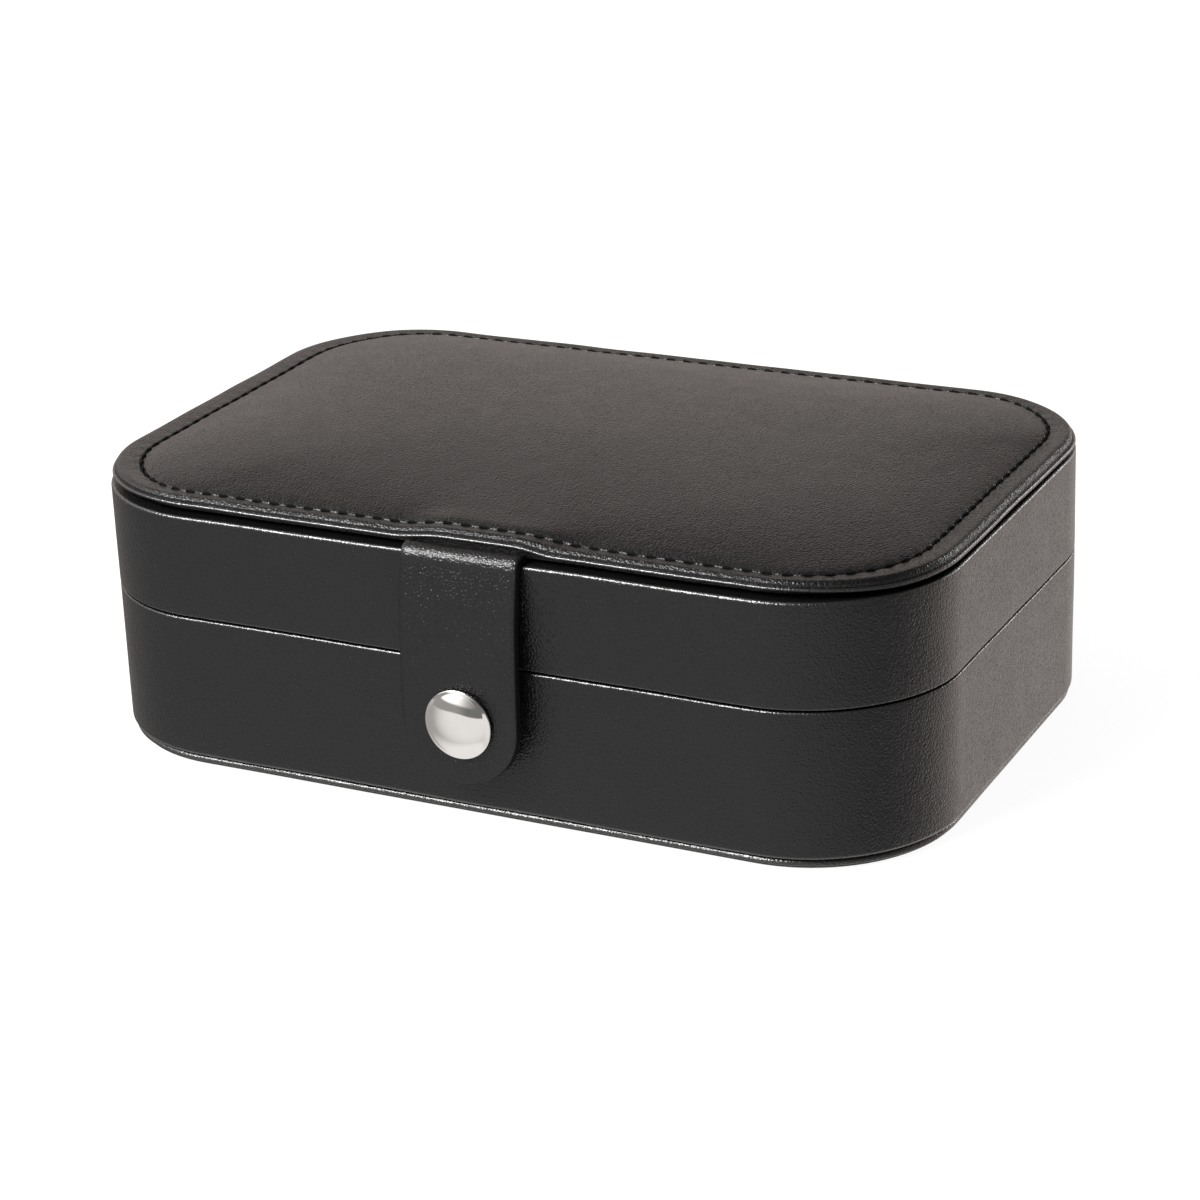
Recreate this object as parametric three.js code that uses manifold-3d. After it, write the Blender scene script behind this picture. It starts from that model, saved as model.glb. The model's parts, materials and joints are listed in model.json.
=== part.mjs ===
import * as THREE from "three";
import { mergeVertices } from "three/addons/utils/BufferGeometryUtils.js";
import Module from "manifold-3d";

// Jewelry gift box: a leather-covered case with a padded lid, a leather hinge at the back
// and a strap that closes on a snap at the front. Millimetres, +Z up, the front faces -Y,
// and the origin is the centre of the underside.

const wasm = await Module();
wasm.setup();

// Driving dimensions of the case.
const LENGTH = 160;
const DEPTH = 107;
const CORNER = 26.5; // outside radius of the four upright corners
const BOARD = 2; // greyboard of walls and plates
const SKIN = 0.8; // leather of the walls, and the velvet of the linings
const GAP = 0.3; // between neighbouring pieces of a wall
const STACK_GAP = 0.1; // between flat pieces that lie on each other
const TURN_IN = 9; // how far the leather is turned over flat boards
const EDGE = 0.6; // softened outer edges of the leather

// Heights.
const FOOT_TOP = 2.2;
const WALL_FOOT = FOOT_TOP + STACK_GAP;
const PARTING = 28.45;
const RIM_LOW = PARTING - GAP / 2;
const RIM_HIGH = PARTING + GAP / 2;
const WALL_TOP = 47.3;
const TOP = 54;

// Padded panel on the lid.
const PANEL_SKIN = 0.4;
const PANEL_LOW = WALL_TOP + 0.8;
const PANEL_EDGE_TOP = PANEL_LOW + 1.6;
const PANEL_INSET = 1.4;
const PANEL_TURN_IN = 8;
const SEAM_INSET = 5.1;
const SEAM_HALF = 0.8; // half the width of the seam's groove
const CROWN_START = SEAM_INSET + SEAM_HALF;
const CROWN_END = 48;
const CROWN_POWER = 3.2;
const CROWN_CORNER = 20.5; // least corner radius of the crown's contours
const CROWN_STEPS = [0, 1.6, 4.1, 8.1, 14.1, 22.1, 32.1];

// Strap and snap.
const STRAP_X = 2;
const STRAP_WIDTH = 22;
const STRAP_OUTER = 0.8;
const STRAP_LINING = 0.5;
const STRAP_TOP = WALL_TOP - GAP;
const STRAP_ROOT = 15; // length of the strap's end under the panel
const SNAP_Z = 18.9;
const STRAP_OFF_TOP = 0.3; // stand-off of the strap from the wall at its top
const STRAP_OFF_SNAP = 2.6; // and at the snap
const POST_HOLE = 1.6;
const POST = 1.2;
const EYELET = 4;
const EYELET_DEPTH = 0.9;

// Interior.
const WALL_INSIDE = SKIN + GAP + BOARD + GAP + SKIN; // inset of the velvet's face
const PLATE_INSET = SKIN + GAP + BOARD + GAP;
const FLOOR_LOW = WALL_FOOT + SKIN + GAP;
const FLOOR_BOARD = 1.5;
const FLOOR_VELVET = 0.5;
const FURNITURE_LOW = FLOOR_LOW + FLOOR_BOARD + GAP + FLOOR_VELVET + GAP;
const DIVIDER = 2.2;
const DIVIDER_TOP = 24;
const PARTITION_X = -15;
const DIVIDER_Y = 8;
const CROSS_X = 31;
const ROLLS = 6;
const ROLL_TOP = 23;
const ROLL_PITCH = 16.05;
const ROLL_WIDTH = 15.6;

// Fittings inside the lid.
const HOOKS = 5;
const HOOK_PITCH = 20;
const HOOK_WIRE = 0.8;
const HOOK_BEND = 1.6;
const HOOK_Y = -33;
const HOOK_REACH = 6.4;
const HOOK_DROP = 6.8;
const BAR_HALF = 50;
const BAR_DEPTH = 9;
const BAR = 1.5;
const CEILING = 1.2;
const POCKET_HALF = 55;
const POCKET_FRONT = 6;
const POCKET_BACK = 44;
const POCKET_DEPTH = 5.2;
const ELASTIC = 2.3;

// Hinge at the back.
const SPINE_HALF = 52;
const SPINE = 0.6;
const GUSSET_HALF = 50;
const GUSSET = 0.5;

const ARC_STEPS = 8;
const ROUND = 24;

const material = (color, roughness, metalness = 0) =>
  new THREE.MeshStandardMaterial({ color, roughness, metalness });

const leather = material(0x222222, 0.5);
const board = material(0x8a8378, 0.95);
const velvet = material(0x2c2b2d, 1);
const foam = material(0xd8d2c4, 1);
const thread = material(0x101010, 0.8);
const nickel = material(0xc9c6c2, 0.25, 1);

function piece(name, geometry, look) {
  const mesh = new THREE.Mesh(geometry, look);
  mesh.name = name;
  return mesh;
}

// One loop of points round the case, anticlockwise seen from above, drawn in from the
// outside of the wall by `inset`.
function loop(inset, z) {
  const halfX = LENGTH / 2 - inset;
  const halfY = DEPTH / 2 - inset;
  const radius = Math.min(Math.max(CORNER - inset, CROWN_CORNER), 0.95 * halfY);
  const points = [];
  for (let quarter = 0; quarter < 4; quarter++) {
    const signX = quarter === 0 || quarter === 3 ? 1 : -1;
    const signY = quarter < 2 ? 1 : -1;
    for (let step = 0; step <= ARC_STEPS; step++) {
      const angle = ((quarter + step / ARC_STEPS) * Math.PI) / 2;
      const x = signX * (halfX - radius) + radius * Math.cos(angle);
      const y = signY * (halfY - radius) + radius * Math.sin(angle);
      points.push(new THREE.Vector3(x, y, z));
    }
  }
  return points;
}

// The skin between successive loops of equal length. An open run of loops gets a flat
// face at each end; a closed run joins its last loop to its first.
function skin(loops, closed) {
  const count = loops[0].length;
  const positions = loops.flat().flatMap((p) => [p.x, p.y, p.z]);
  const index = [];
  const bands = closed ? loops.length : loops.length - 1;
  for (let band = 0; band < bands; band++) {
    const low = band * count;
    const high = ((band + 1) % loops.length) * count;
    for (let i = 0; i < count; i++) {
      const next = (i + 1) % count;
      index.push(low + i, low + next, high + next);
      index.push(low + i, high + next, high + i);
    }
  }
  if (!closed) {
    const last = (loops.length - 1) * count;
    for (let i = 1; i < count - 1; i++) {
      index.push(0, i + 1, i);
      index.push(last, last + i, last + i + 1);
    }
  }
  const geometry = new THREE.BufferGeometry();
  geometry.setAttribute("position", new THREE.Float32BufferAttribute(positions, 3));
  geometry.setIndex(index);
  return geometry;
}

// A ring with the closed section `profile`, given as [inset, z] from the outer foot
// upwards and back down on the inside.
const ring = (profile) => skin(profile.map(([inset, z]) => loop(inset, z)), true);

const plate = (inset, low, high) => skin([loop(inset, low), loop(inset, high)], false);

const wallRing = (outer, inner, low, high) =>
  ring([
    [outer, low],
    [outer, high],
    [inner, high],
    [inner, low],
  ]);

function block(name, look, [x0, x1], [y0, y1], [z0, z1]) {
  const mesh = piece(name, new THREE.BoxGeometry(x1 - x0, y1 - y0, z1 - z0), look);
  mesh.position.set((x0 + x1) / 2, (y0 + y1) / 2, (z0 + z1) / 2);
  return mesh;
}

function solidOf(geometry) {
  const bare = geometry.clone();
  bare.deleteAttribute("normal");
  bare.deleteAttribute("uv");
  const merged = mergeVertices(bare, 1e-4);
  const vertProperties = merged.attributes.position.array;
  const triVerts = new Uint32Array(merged.index.array);
  return new wasm.Manifold(new wasm.Mesh({ numProp: 3, vertProperties, triVerts }));
}

function geometryOf(solid) {
  const mesh = solid.getMesh();
  const geometry = new THREE.BufferGeometry();
  geometry.setAttribute("position", new THREE.BufferAttribute(mesh.vertProperties, 3));
  geometry.setIndex(new THREE.BufferAttribute(mesh.triVerts, 1));
  return geometry;
}

const cut = (geometry, ...tools) =>
  geometryOf(tools.reduce((rest, tool) => rest.subtract(solidOf(tool)), solidOf(geometry)));

const common = (a, b) => geometryOf(solidOf(a).intersect(solidOf(b)));

// A round tool through the front wall, along Y between two insets at the snap.
function snapBore(radius, insetOut, insetIn) {
  const bore = new THREE.CylinderGeometry(radius, radius, insetIn - insetOut, ROUND);
  bore.translate(STRAP_X, (insetOut + insetIn - DEPTH) / 2, SNAP_Z);
  return bore;
}

// A box tool between opposite corners.
function boxTool([x0, x1], [y0, y1], [z0, z1]) {
  const tool = new THREE.BoxGeometry(x1 - x0, y1 - y0, z1 - z0);
  tool.translate((x0 + x1) / 2, (y0 + y1) / 2, (z0 + z1) / 2);
  return tool;
}

// A turned piece whose axis lies along -Y at the snap. `profile` is [radius, distance
// out of the wall's face], from the end nearer the wall to the outer end.
function snapPart(name, profile) {
  const points = profile.map(([radius, out]) => new THREE.Vector2(radius, out));
  const mesh = piece(name, new THREE.LatheGeometry(points, ROUND), nickel);
  mesh.position.set(STRAP_X, -DEPTH / 2, SNAP_Z);
  mesh.rotation.x = Math.PI;
  return mesh;
}

function makeBase() {
  const base = new THREE.Group();
  const wrap = ring([
    [EDGE, WALL_FOOT],
    [0, WALL_FOOT + EDGE],
    [0, RIM_LOW - EDGE],
    [EDGE, RIM_LOW],
    [SKIN + GAP + BOARD, RIM_LOW],
    [SKIN + GAP + BOARD, RIM_LOW - SKIN],
    [SKIN, RIM_LOW - SKIN],
    [SKIN, WALL_FOOT + SKIN],
    [TURN_IN, WALL_FOOT + SKIN],
    [TURN_IN, WALL_FOOT],
  ]);
  const frameOut = SKIN + GAP;
  const frameIn = frameOut + BOARD;
  const frame = wallRing(frameOut, frameIn, FLOOR_LOW, RIM_LOW - SKIN - GAP);
  const floorVelvetLow = FLOOR_LOW + FLOOR_BOARD + GAP;
  base.add(
    piece("bottom_board", plate(EDGE + 0.25, 0, FOOT_TOP), leather),
    piece("base_wrap", cut(wrap, snapBore(POST_HOLE, -1, frameOut)), leather),
    piece(
      "base_frame",
      cut(
        frame,
        snapBore(POST_HOLE, 0, frameIn + 1),
        snapBore(EYELET + GAP, frameIn - EYELET_DEPTH, frameIn + 1),
      ),
      board,
    ),
    piece("floor_board", plate(PLATE_INSET, FLOOR_LOW, FLOOR_LOW + FLOOR_BOARD), board),
    piece("base_lining", wallRing(PLATE_INSET, WALL_INSIDE, floorVelvetLow, RIM_LOW - GAP), velvet),
    piece(
      "floor_lining",
      plate(WALL_INSIDE + GAP, floorVelvetLow, floorVelvetLow + FLOOR_VELVET),
      velvet,
    ),
  );
  return base;
}

// Padded ring rolls, side by side along Y, their ends cut to the rounded inside wall.
function makeRingRolls() {
  const rolls = new THREE.Group();
  const halfInside = LENGTH / 2 - WALL_INSIDE - GAP;
  const partitionFace = PARTITION_X - DIVIDER / 2 - GAP;
  const inside = plate(WALL_INSIDE + GAP, FURNITURE_LOW - 1, ROLL_TOP + 1);
  const half = ROLL_WIDTH / 2;
  const side = ROLL_TOP - half;
  const section = new THREE.Shape();
  section.moveTo(-half, FURNITURE_LOW);
  section.lineTo(half, FURNITURE_LOW);
  section.lineTo(half, side);
  section.absarc(0, side, half, 0, Math.PI);
  section.closePath();
  for (let i = 0; i < ROLLS; i++) {
    const length = halfInside + partitionFace;
    const bar = new THREE.ExtrudeGeometry(section, {
      depth: length,
      bevelEnabled: false,
      curveSegments: ARC_STEPS,
    });
    bar.rotateX(Math.PI / 2);
    bar.rotateZ(Math.PI / 2);
    bar.translate(-halfInside, (i - (ROLLS - 1) / 2) * ROLL_PITCH, 0);
    rolls.add(piece(`ring_roll_${i + 1}`, common(bar, inside), velvet));
  }
  return rolls;
}

function makeDividers() {
  const dividers = new THREE.Group();
  const halfX = LENGTH / 2 - WALL_INSIDE - GAP;
  const halfY = DEPTH / 2 - WALL_INSIDE - GAP;
  const height = [FURNITURE_LOW, DIVIDER_TOP];
  const across = (at) => [at - DIVIDER / 2, at + DIVIDER / 2];
  const partition = across(PARTITION_X);
  const long = across(DIVIDER_Y);
  dividers.add(
    block("ring_partition", velvet, partition, [-halfY, halfY - GUSSET - GAP], height),
    block("divider_long", velvet, [partition[1] + GAP, halfX], long, height),
    block("divider_cross", velvet, across(CROSS_X), [-halfY, long[0] - GAP], height),
  );
  return dividers;
}

function makeLid() {
  const lid = new THREE.Group();
  const frameOut = SKIN + GAP;
  const frameIn = frameOut + BOARD;
  const frameTop = WALL_TOP - SKIN - GAP;
  const boardLow = frameTop - BOARD;
  const ceilingHigh = boardLow - GAP;
  const wrap = ring([
    [EDGE, RIM_HIGH],
    [0, RIM_HIGH + EDGE],
    [0, WALL_TOP - EDGE],
    [EDGE, WALL_TOP],
    [TURN_IN, WALL_TOP],
    [TURN_IN, WALL_TOP - SKIN],
    [SKIN, WALL_TOP - SKIN],
    [SKIN, RIM_HIGH + SKIN],
    [frameIn, RIM_HIGH + SKIN],
    [frameIn, RIM_HIGH],
  ]);
  const frame = wallRing(frameOut, frameIn, RIM_HIGH + SKIN + GAP, frameTop);
  lid.add(
    piece("lid_wrap", wrap, leather),
    piece("lid_frame", frame, board),
    piece("lid_top_board", plate(PLATE_INSET, boardLow, frameTop), board),
    piece("lid_lining", wallRing(PLATE_INSET, WALL_INSIDE, RIM_HIGH + GAP, ceilingHigh), velvet),
    piece("lid_ceiling", plate(WALL_INSIDE + GAP, ceilingHigh - CEILING, ceilingHigh), velvet),
  );
  const fittingsHigh = ceilingHigh - CEILING - GAP;
  lid.add(makeHooks(fittingsHigh), makePocket(fittingsHigh), makePanel());
  return lid;
}

// Five necklace hooks on a bar. They point forward, which is upward when the lid stands open.
function makeHooks(high) {
  const hooks = new THREE.Group();
  const barY = [HOOK_Y - BAR_DEPTH / 2, HOOK_Y + BAR_DEPTH / 2];
  hooks.add(block("hook_bar", velvet, [-BAR_HALF, BAR_HALF], barY, [high - BAR, high]));
  const stemTop = high - BAR - GAP;
  const armZ = stemTop - HOOK_DROP;
  const section = new THREE.Shape().absarc(0, 0, HOOK_WIRE, 0, 2 * Math.PI);
  for (let i = 0; i < HOOKS; i++) {
    const x = (i - (HOOKS - 1) / 2) * HOOK_PITCH;
    const at = (y, z) => new THREE.Vector3(x, y, z);
    const path = new THREE.CurvePath();
    path.add(new THREE.LineCurve3(at(HOOK_Y, stemTop), at(HOOK_Y, armZ + HOOK_BEND)));
    path.add(
      new THREE.QuadraticBezierCurve3(
        at(HOOK_Y, armZ + HOOK_BEND),
        at(HOOK_Y, armZ),
        at(HOOK_Y - HOOK_BEND, armZ),
      ),
    );
    path.add(new THREE.LineCurve3(at(HOOK_Y - HOOK_BEND, armZ), at(HOOK_Y - HOOK_REACH, armZ)));
    const wire = new THREE.ExtrudeGeometry(section, {
      steps: 14,
      extrudePath: path,
      curveSegments: 5,
    });
    hooks.add(piece(`necklace_hook_${i + 1}`, wire, nickel));
  }
  return hooks;
}

// A shallow pocket below the hooks, sewn to the ceiling on three sides, with an elastic hem.
function makePocket(high) {
  const pocket = new THREE.Group();
  const low = high - POCKET_DEPTH;
  const outer = boxTool([-POCKET_HALF, POCKET_HALF], [POCKET_FRONT, POCKET_BACK], [low, high]);
  const hollow = boxTool(
    [SKIN - POCKET_HALF, POCKET_HALF - SKIN],
    [POCKET_FRONT - 1, POCKET_BACK - SKIN],
    [low + SKIN, high + 1],
  );
  const hem = [POCKET_FRONT - GAP - ELASTIC, POCKET_FRONT - GAP];
  pocket.add(
    piece("lid_pocket", cut(outer, hollow), velvet),
    block("pocket_elastic", thread, [-POCKET_HALF, POCKET_HALF], hem, [low, low + ELASTIC / 2]),
  );
  return pocket;
}

// Height of the panel's crown above the seam, by distance in from the seam's groove.
function crown(distance) {
  const share = 1 - distance / (CROWN_END - CROWN_START);
  const foot = PANEL_EDGE_TOP + PANEL_SKIN;
  return foot + (TOP - foot) * (1 - share ** CROWN_POWER);
}

// The padded panel: a card and a foam crown in a leather cover that is turned in below,
// with a stitched seam all round, on a spacer that leaves room for the strap's end.
function makePanel() {
  const panel = new THREE.Group();
  const crownLoops = (drop, from) =>
    [...CROWN_STEPS.map((step) => CROWN_START + step), CROWN_END]
      .filter((inset) => inset >= from)
      .map((inset) => loop(inset, crown(inset - CROWN_START) - drop));
  const innerLow = PANEL_LOW + PANEL_SKIN;
  const innerHigh = PANEL_EDGE_TOP - PANEL_SKIN;
  const middle = (innerLow + innerHigh) / 2;
  const cover = skin(
    [
      ...crownLoops(PANEL_SKIN, CROWN_START).reverse(),
      loop(SEAM_INSET, innerHigh),
      loop(PANEL_INSET + 2 * PANEL_SKIN, innerHigh),
      loop(PANEL_INSET + PANEL_SKIN, middle),
      loop(PANEL_INSET + 2 * PANEL_SKIN, innerLow),
      loop(PANEL_TURN_IN, innerLow),
      loop(PANEL_TURN_IN, PANEL_LOW),
      loop(PANEL_INSET + EDGE, PANEL_LOW),
      loop(PANEL_INSET, PANEL_LOW + EDGE),
      loop(PANEL_INSET, PANEL_EDGE_TOP - EDGE),
      loop(PANEL_INSET + EDGE, PANEL_EDGE_TOP),
      loop(SEAM_INSET - SEAM_HALF, PANEL_EDGE_TOP + PANEL_SKIN / 2),
      loop(SEAM_INSET, PANEL_EDGE_TOP),
      ...crownLoops(0, CROWN_START),
    ],
    false,
  );
  const cardEdge = PANEL_INSET + 2 * PANEL_SKIN + STACK_GAP;
  const foamEdge = CROWN_START + CROWN_STEPS[1];
  const foamLow = innerHigh;
  const foamPad = skin(
    [loop(foamEdge, foamLow), ...crownLoops(PANEL_SKIN + STACK_GAP, foamEdge)],
    false,
  );
  const threadLow = PANEL_EDGE_TOP + PANEL_SKIN / 2;
  const threadHalf = 0.25;
  const rootX = [STRAP_X - STRAP_WIDTH / 2, STRAP_X + STRAP_WIDTH / 2];
  const rootBack = STRAP_ROOT - DEPTH / 2;
  const bed = [WALL_TOP + STACK_GAP, PANEL_LOW - STACK_GAP];
  const notch = boxTool(
    [rootX[0] - GAP, rootX[1] + GAP],
    [-DEPTH / 2, rootBack + GAP],
    [bed[0] - 1, bed[1] + 1],
  );
  panel.add(
    piece("panel_spacer", cut(plate(TURN_IN + 1, ...bed), notch), board),
    block("strap_root", leather, rootX, [0.5 - DEPTH / 2, rootBack], bed),
    piece("panel_card", plate(cardEdge, innerLow + STACK_GAP, innerHigh - STACK_GAP), board),
    piece("panel_foam", foamPad, foam),
    piece("panel_cover", cover, leather),
    piece(
      "seam_thread",
      wallRing(
        SEAM_INSET - threadHalf,
        SEAM_INSET + threadHalf,
        threadLow,
        threadLow + threadHalf,
      ),
      thread,
    ),
  );
  return panel;
}

// A layer of the strap: a flat band with a half-round tip, standing off the wall by a
// distance that grows from the top to the snap.
function strapLayer(off, thickness) {
  const half = STRAP_WIDTH / 2;
  const face = -DEPTH / 2;
  const stations = [];
  const straightSteps = 4;
  for (let i = 0; i <= straightSteps; i++) {
    const share = i / straightSteps;
    const lean = STRAP_OFF_SNAP - (STRAP_OFF_SNAP - STRAP_OFF_TOP) * (1 - share) ** 2;
    stations.push({ z: STRAP_TOP + (SNAP_Z - STRAP_TOP) * share, half, lean });
  }
  const tipSteps = 9;
  for (let i = 1; i <= tipSteps; i++) {
    const angle = (i / (tipSteps + 0.5)) * (Math.PI / 2);
    const z = SNAP_Z - half * Math.sin(angle);
    stations.push({ z, half: half * Math.cos(angle), lean: STRAP_OFF_SNAP });
  }
  const loops = stations.reverse().map(({ z, half: width, lean }) => {
    const inner = face - lean - off;
    const outer = inner - thickness;
    return [
      new THREE.Vector3(STRAP_X - width, outer, z),
      new THREE.Vector3(STRAP_X + width, outer, z),
      new THREE.Vector3(STRAP_X + width, inner, z),
      new THREE.Vector3(STRAP_X - width, inner, z),
    ];
  });
  return cut(skin(loops, false), snapBore(POST_HOLE, -8, 0));
}

function makeStrap() {
  const strap = new THREE.Group();
  const outerOff = STRAP_LINING + STACK_GAP;
  const outerFace = STRAP_OFF_SNAP + outerOff + STRAP_OUTER;
  const capLow = outerFace + STACK_GAP;
  const capRadius = 6.25;
  const capRim = 0.5;
  const capHigh = capLow + 2.1;
  const socketHigh = STRAP_OFF_SNAP - STACK_GAP;
  const socketLow = socketHigh - 1.1;
  const socketRadius = 5.5;
  const socketMouth = 2.8;
  const socketDepth = 0.7;
  strap.add(
    piece("strap_lining", strapLayer(0, STRAP_LINING), leather),
    piece("strap_outer", strapLayer(outerOff, STRAP_OUTER), leather),
    snapPart("snap_cap", [
      [0, socketHigh + GAP / 2],
      [POST, socketHigh + GAP / 2],
      [POST, capLow],
      [capRadius, capLow],
      [capRadius, capLow + capRim],
      [0.88 * capRadius, capLow + 0.55 * (capHigh - capLow)],
      [0.62 * capRadius, capLow + 0.82 * (capHigh - capLow)],
      [0.32 * capRadius, capLow + 0.96 * (capHigh - capLow)],
      [0, capHigh],
    ]),
    snapPart("snap_socket", [
      [0, socketLow + socketDepth],
      [socketMouth, socketLow + socketDepth],
      [socketMouth, socketLow],
      [socketRadius - capRim, socketLow],
      [socketRadius, socketLow + capRim],
      [socketRadius, socketHigh],
      [0, socketHigh],
    ]),
  );
  return strap;
}

// The stud on the base's front wall, with its eyelet behind the board.
function makeStud() {
  const stud = new THREE.Group();
  const flange = 4.5;
  const flangeHigh = 0.5;
  const neck = 1.9;
  const head = 2.4;
  const headHigh = 1.1;
  const frameIn = SKIN + GAP + BOARD;
  const postEnd = EYELET_DEPTH - frameIn - 0.25;
  stud.add(
    snapPart("snap_stud", [
      [0, postEnd],
      [POST, postEnd],
      [POST, STACK_GAP],
      [flange, STACK_GAP],
      [flange, 0.3],
      [neck, flangeHigh],
      [head, 0.8],
      [head, 1],
      [0, headHigh],
    ]),
    snapPart("snap_eyelet", [
      [0, -frameIn],
      [EYELET, -frameIn],
      [EYELET, postEnd - GAP],
      [0, postEnd - GAP],
    ]),
  );
  return stud;
}

// Leather spine outside and fabric gusset inside, each in a half on the base and a half
// on the lid, either side of the flexing line.
function makeHingeHalf(part, spineHeights, gussetHeights) {
  const half = new THREE.Group();
  const spineY = [DEPTH / 2 + STACK_GAP, DEPTH / 2 + STACK_GAP + SPINE];
  const gussetHigh = DEPTH / 2 - WALL_INSIDE - 0.2;
  const gussetY = [gussetHigh - GUSSET, gussetHigh];
  const wide = (reach) => [-reach, reach];
  half.add(
    block(`hinge_spine_${part}`, leather, wide(SPINE_HALF), spineY, spineHeights),
    block(`hinge_gusset_${part}`, velvet, wide(GUSSET_HALF), gussetY, gussetHeights),
  );
  return half;
}

const box = new THREE.Group();
const baseGroup = makeBase();
const lidGroup = makeLid();
baseGroup.add(makeRingRolls(), makeDividers(), makeStud());
baseGroup.add(makeHingeHalf("base", [16, PARTING - 1], [20, PARTING - 1]));
lidGroup.add(makeHingeHalf("lid", [PARTING + 1, 41], [PARTING + 1, 38]), makeStrap());
box.add(baseGroup, lidGroup);

export default box;
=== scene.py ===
import json
import math

import bmesh
import bpy
from mathutils import Matrix, Vector, noise


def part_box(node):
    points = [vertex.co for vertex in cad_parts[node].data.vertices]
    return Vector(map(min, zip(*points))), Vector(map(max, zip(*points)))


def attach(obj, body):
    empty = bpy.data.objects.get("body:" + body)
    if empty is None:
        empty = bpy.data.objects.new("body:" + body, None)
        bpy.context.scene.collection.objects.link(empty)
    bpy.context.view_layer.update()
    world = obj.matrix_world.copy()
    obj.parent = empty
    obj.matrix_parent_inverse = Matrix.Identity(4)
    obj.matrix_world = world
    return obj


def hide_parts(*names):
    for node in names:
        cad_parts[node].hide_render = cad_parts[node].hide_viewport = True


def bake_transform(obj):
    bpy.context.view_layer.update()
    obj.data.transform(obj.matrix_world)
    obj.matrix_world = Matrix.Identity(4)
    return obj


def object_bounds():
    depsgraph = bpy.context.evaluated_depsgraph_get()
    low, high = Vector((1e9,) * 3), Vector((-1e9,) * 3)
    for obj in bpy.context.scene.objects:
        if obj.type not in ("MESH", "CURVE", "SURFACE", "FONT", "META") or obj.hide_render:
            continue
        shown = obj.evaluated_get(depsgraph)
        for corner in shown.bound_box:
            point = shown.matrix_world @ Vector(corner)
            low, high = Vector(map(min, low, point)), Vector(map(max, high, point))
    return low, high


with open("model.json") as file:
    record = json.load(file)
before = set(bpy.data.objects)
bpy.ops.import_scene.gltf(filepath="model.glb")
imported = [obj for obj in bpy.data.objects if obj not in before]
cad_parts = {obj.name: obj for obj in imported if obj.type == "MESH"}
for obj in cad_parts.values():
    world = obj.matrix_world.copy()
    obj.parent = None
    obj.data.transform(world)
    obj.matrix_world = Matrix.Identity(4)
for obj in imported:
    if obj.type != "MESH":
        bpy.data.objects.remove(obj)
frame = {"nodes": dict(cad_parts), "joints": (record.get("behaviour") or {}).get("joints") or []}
cad_low, cad_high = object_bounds()

# Looks of a jewelry gift box, in metres, in the frame of the CAD model: +Z up, the strap at
# -Y. Places and overall sizes come from the CAD nodes. The constants are what the CAD leaves
# plain: thicknesses, rounded edges, the seam, and the shapes and light fitted to the photo.

BOTTOM_DROP = 0.0004  # the wall's lower edge hangs over the bottom board
SKIN = 0.0008  # leather of the walls, and the velvet of the linings
COVER_SKIN = 0.0004
THREAD = 0.00024  # radius of the seam's thread
STITCH_PITCH = 0.0034
STITCH_LENGTH = 0.0024
GROOVE_HALF = 0.0004
GROOVE_DEPTH = 0.0004

case_low, case_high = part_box("base_wrap")
HALF_X, HALF_Y = case_high.x, case_high.y
side = [v.co.y for v in frame["nodes"]["base_wrap"].data.vertices if v.co.x > HALF_X - 1e-5]
CORNER = HALF_Y - max(side)  # radius of the case's corners, seen from above
lid_low, lid_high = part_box("lid_wrap")
panel_low, panel_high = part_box("panel_cover")
seam_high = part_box("seam_thread")[1]
strap_low, strap_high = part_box("strap_outer")
root_low, root_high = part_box("strap_root")
cap_low, cap_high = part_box("snap_cap")
SNAP = Vector(((cap_low.x + cap_high.x) / 2, -HALF_Y, (cap_low.z + cap_high.z) / 2))
HINGE = next(Vector(joint["pos_m"]) for joint in frame["joints"] if joint["name"] == "lid_hinge")


# ---------------------------------------------------------------- materials

class Nodes:
    """Short ways to add nodes to a node tree."""

    def __init__(self, tree):
        self.tree = tree

    def node(self, kind, sockets=(), **settings):
        made = self.tree.nodes.new(kind)
        for key, value in settings.items():
            setattr(made, key, value)
        for socket, value in dict(sockets).items():
            self.put(made, socket, value)
        return made

    def put(self, node, socket, value):
        if isinstance(value, bpy.types.NodeSocket):
            self.tree.links.new(value, node.inputs[socket])
        else:
            node.inputs[socket].default_value = value

    def math(self, operation, a, b=0.0):
        return self.node("ShaderNodeMath", {0: a, 1: b}, operation=operation).outputs[0]

    def range(self, value, low, high, to_low, to_high, kind="LINEAR"):
        sockets = {0: value, 1: low, 2: high, 3: to_low, 4: to_high}
        return self.node("ShaderNodeMapRange", sockets, interpolation_type=kind).outputs[0]

    def blend(self, share, dark, light):
        sockets = {0: share, 6: dark, 7: light}
        return self.node("ShaderNodeMix", sockets, data_type="RGBA").outputs[2]


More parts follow.
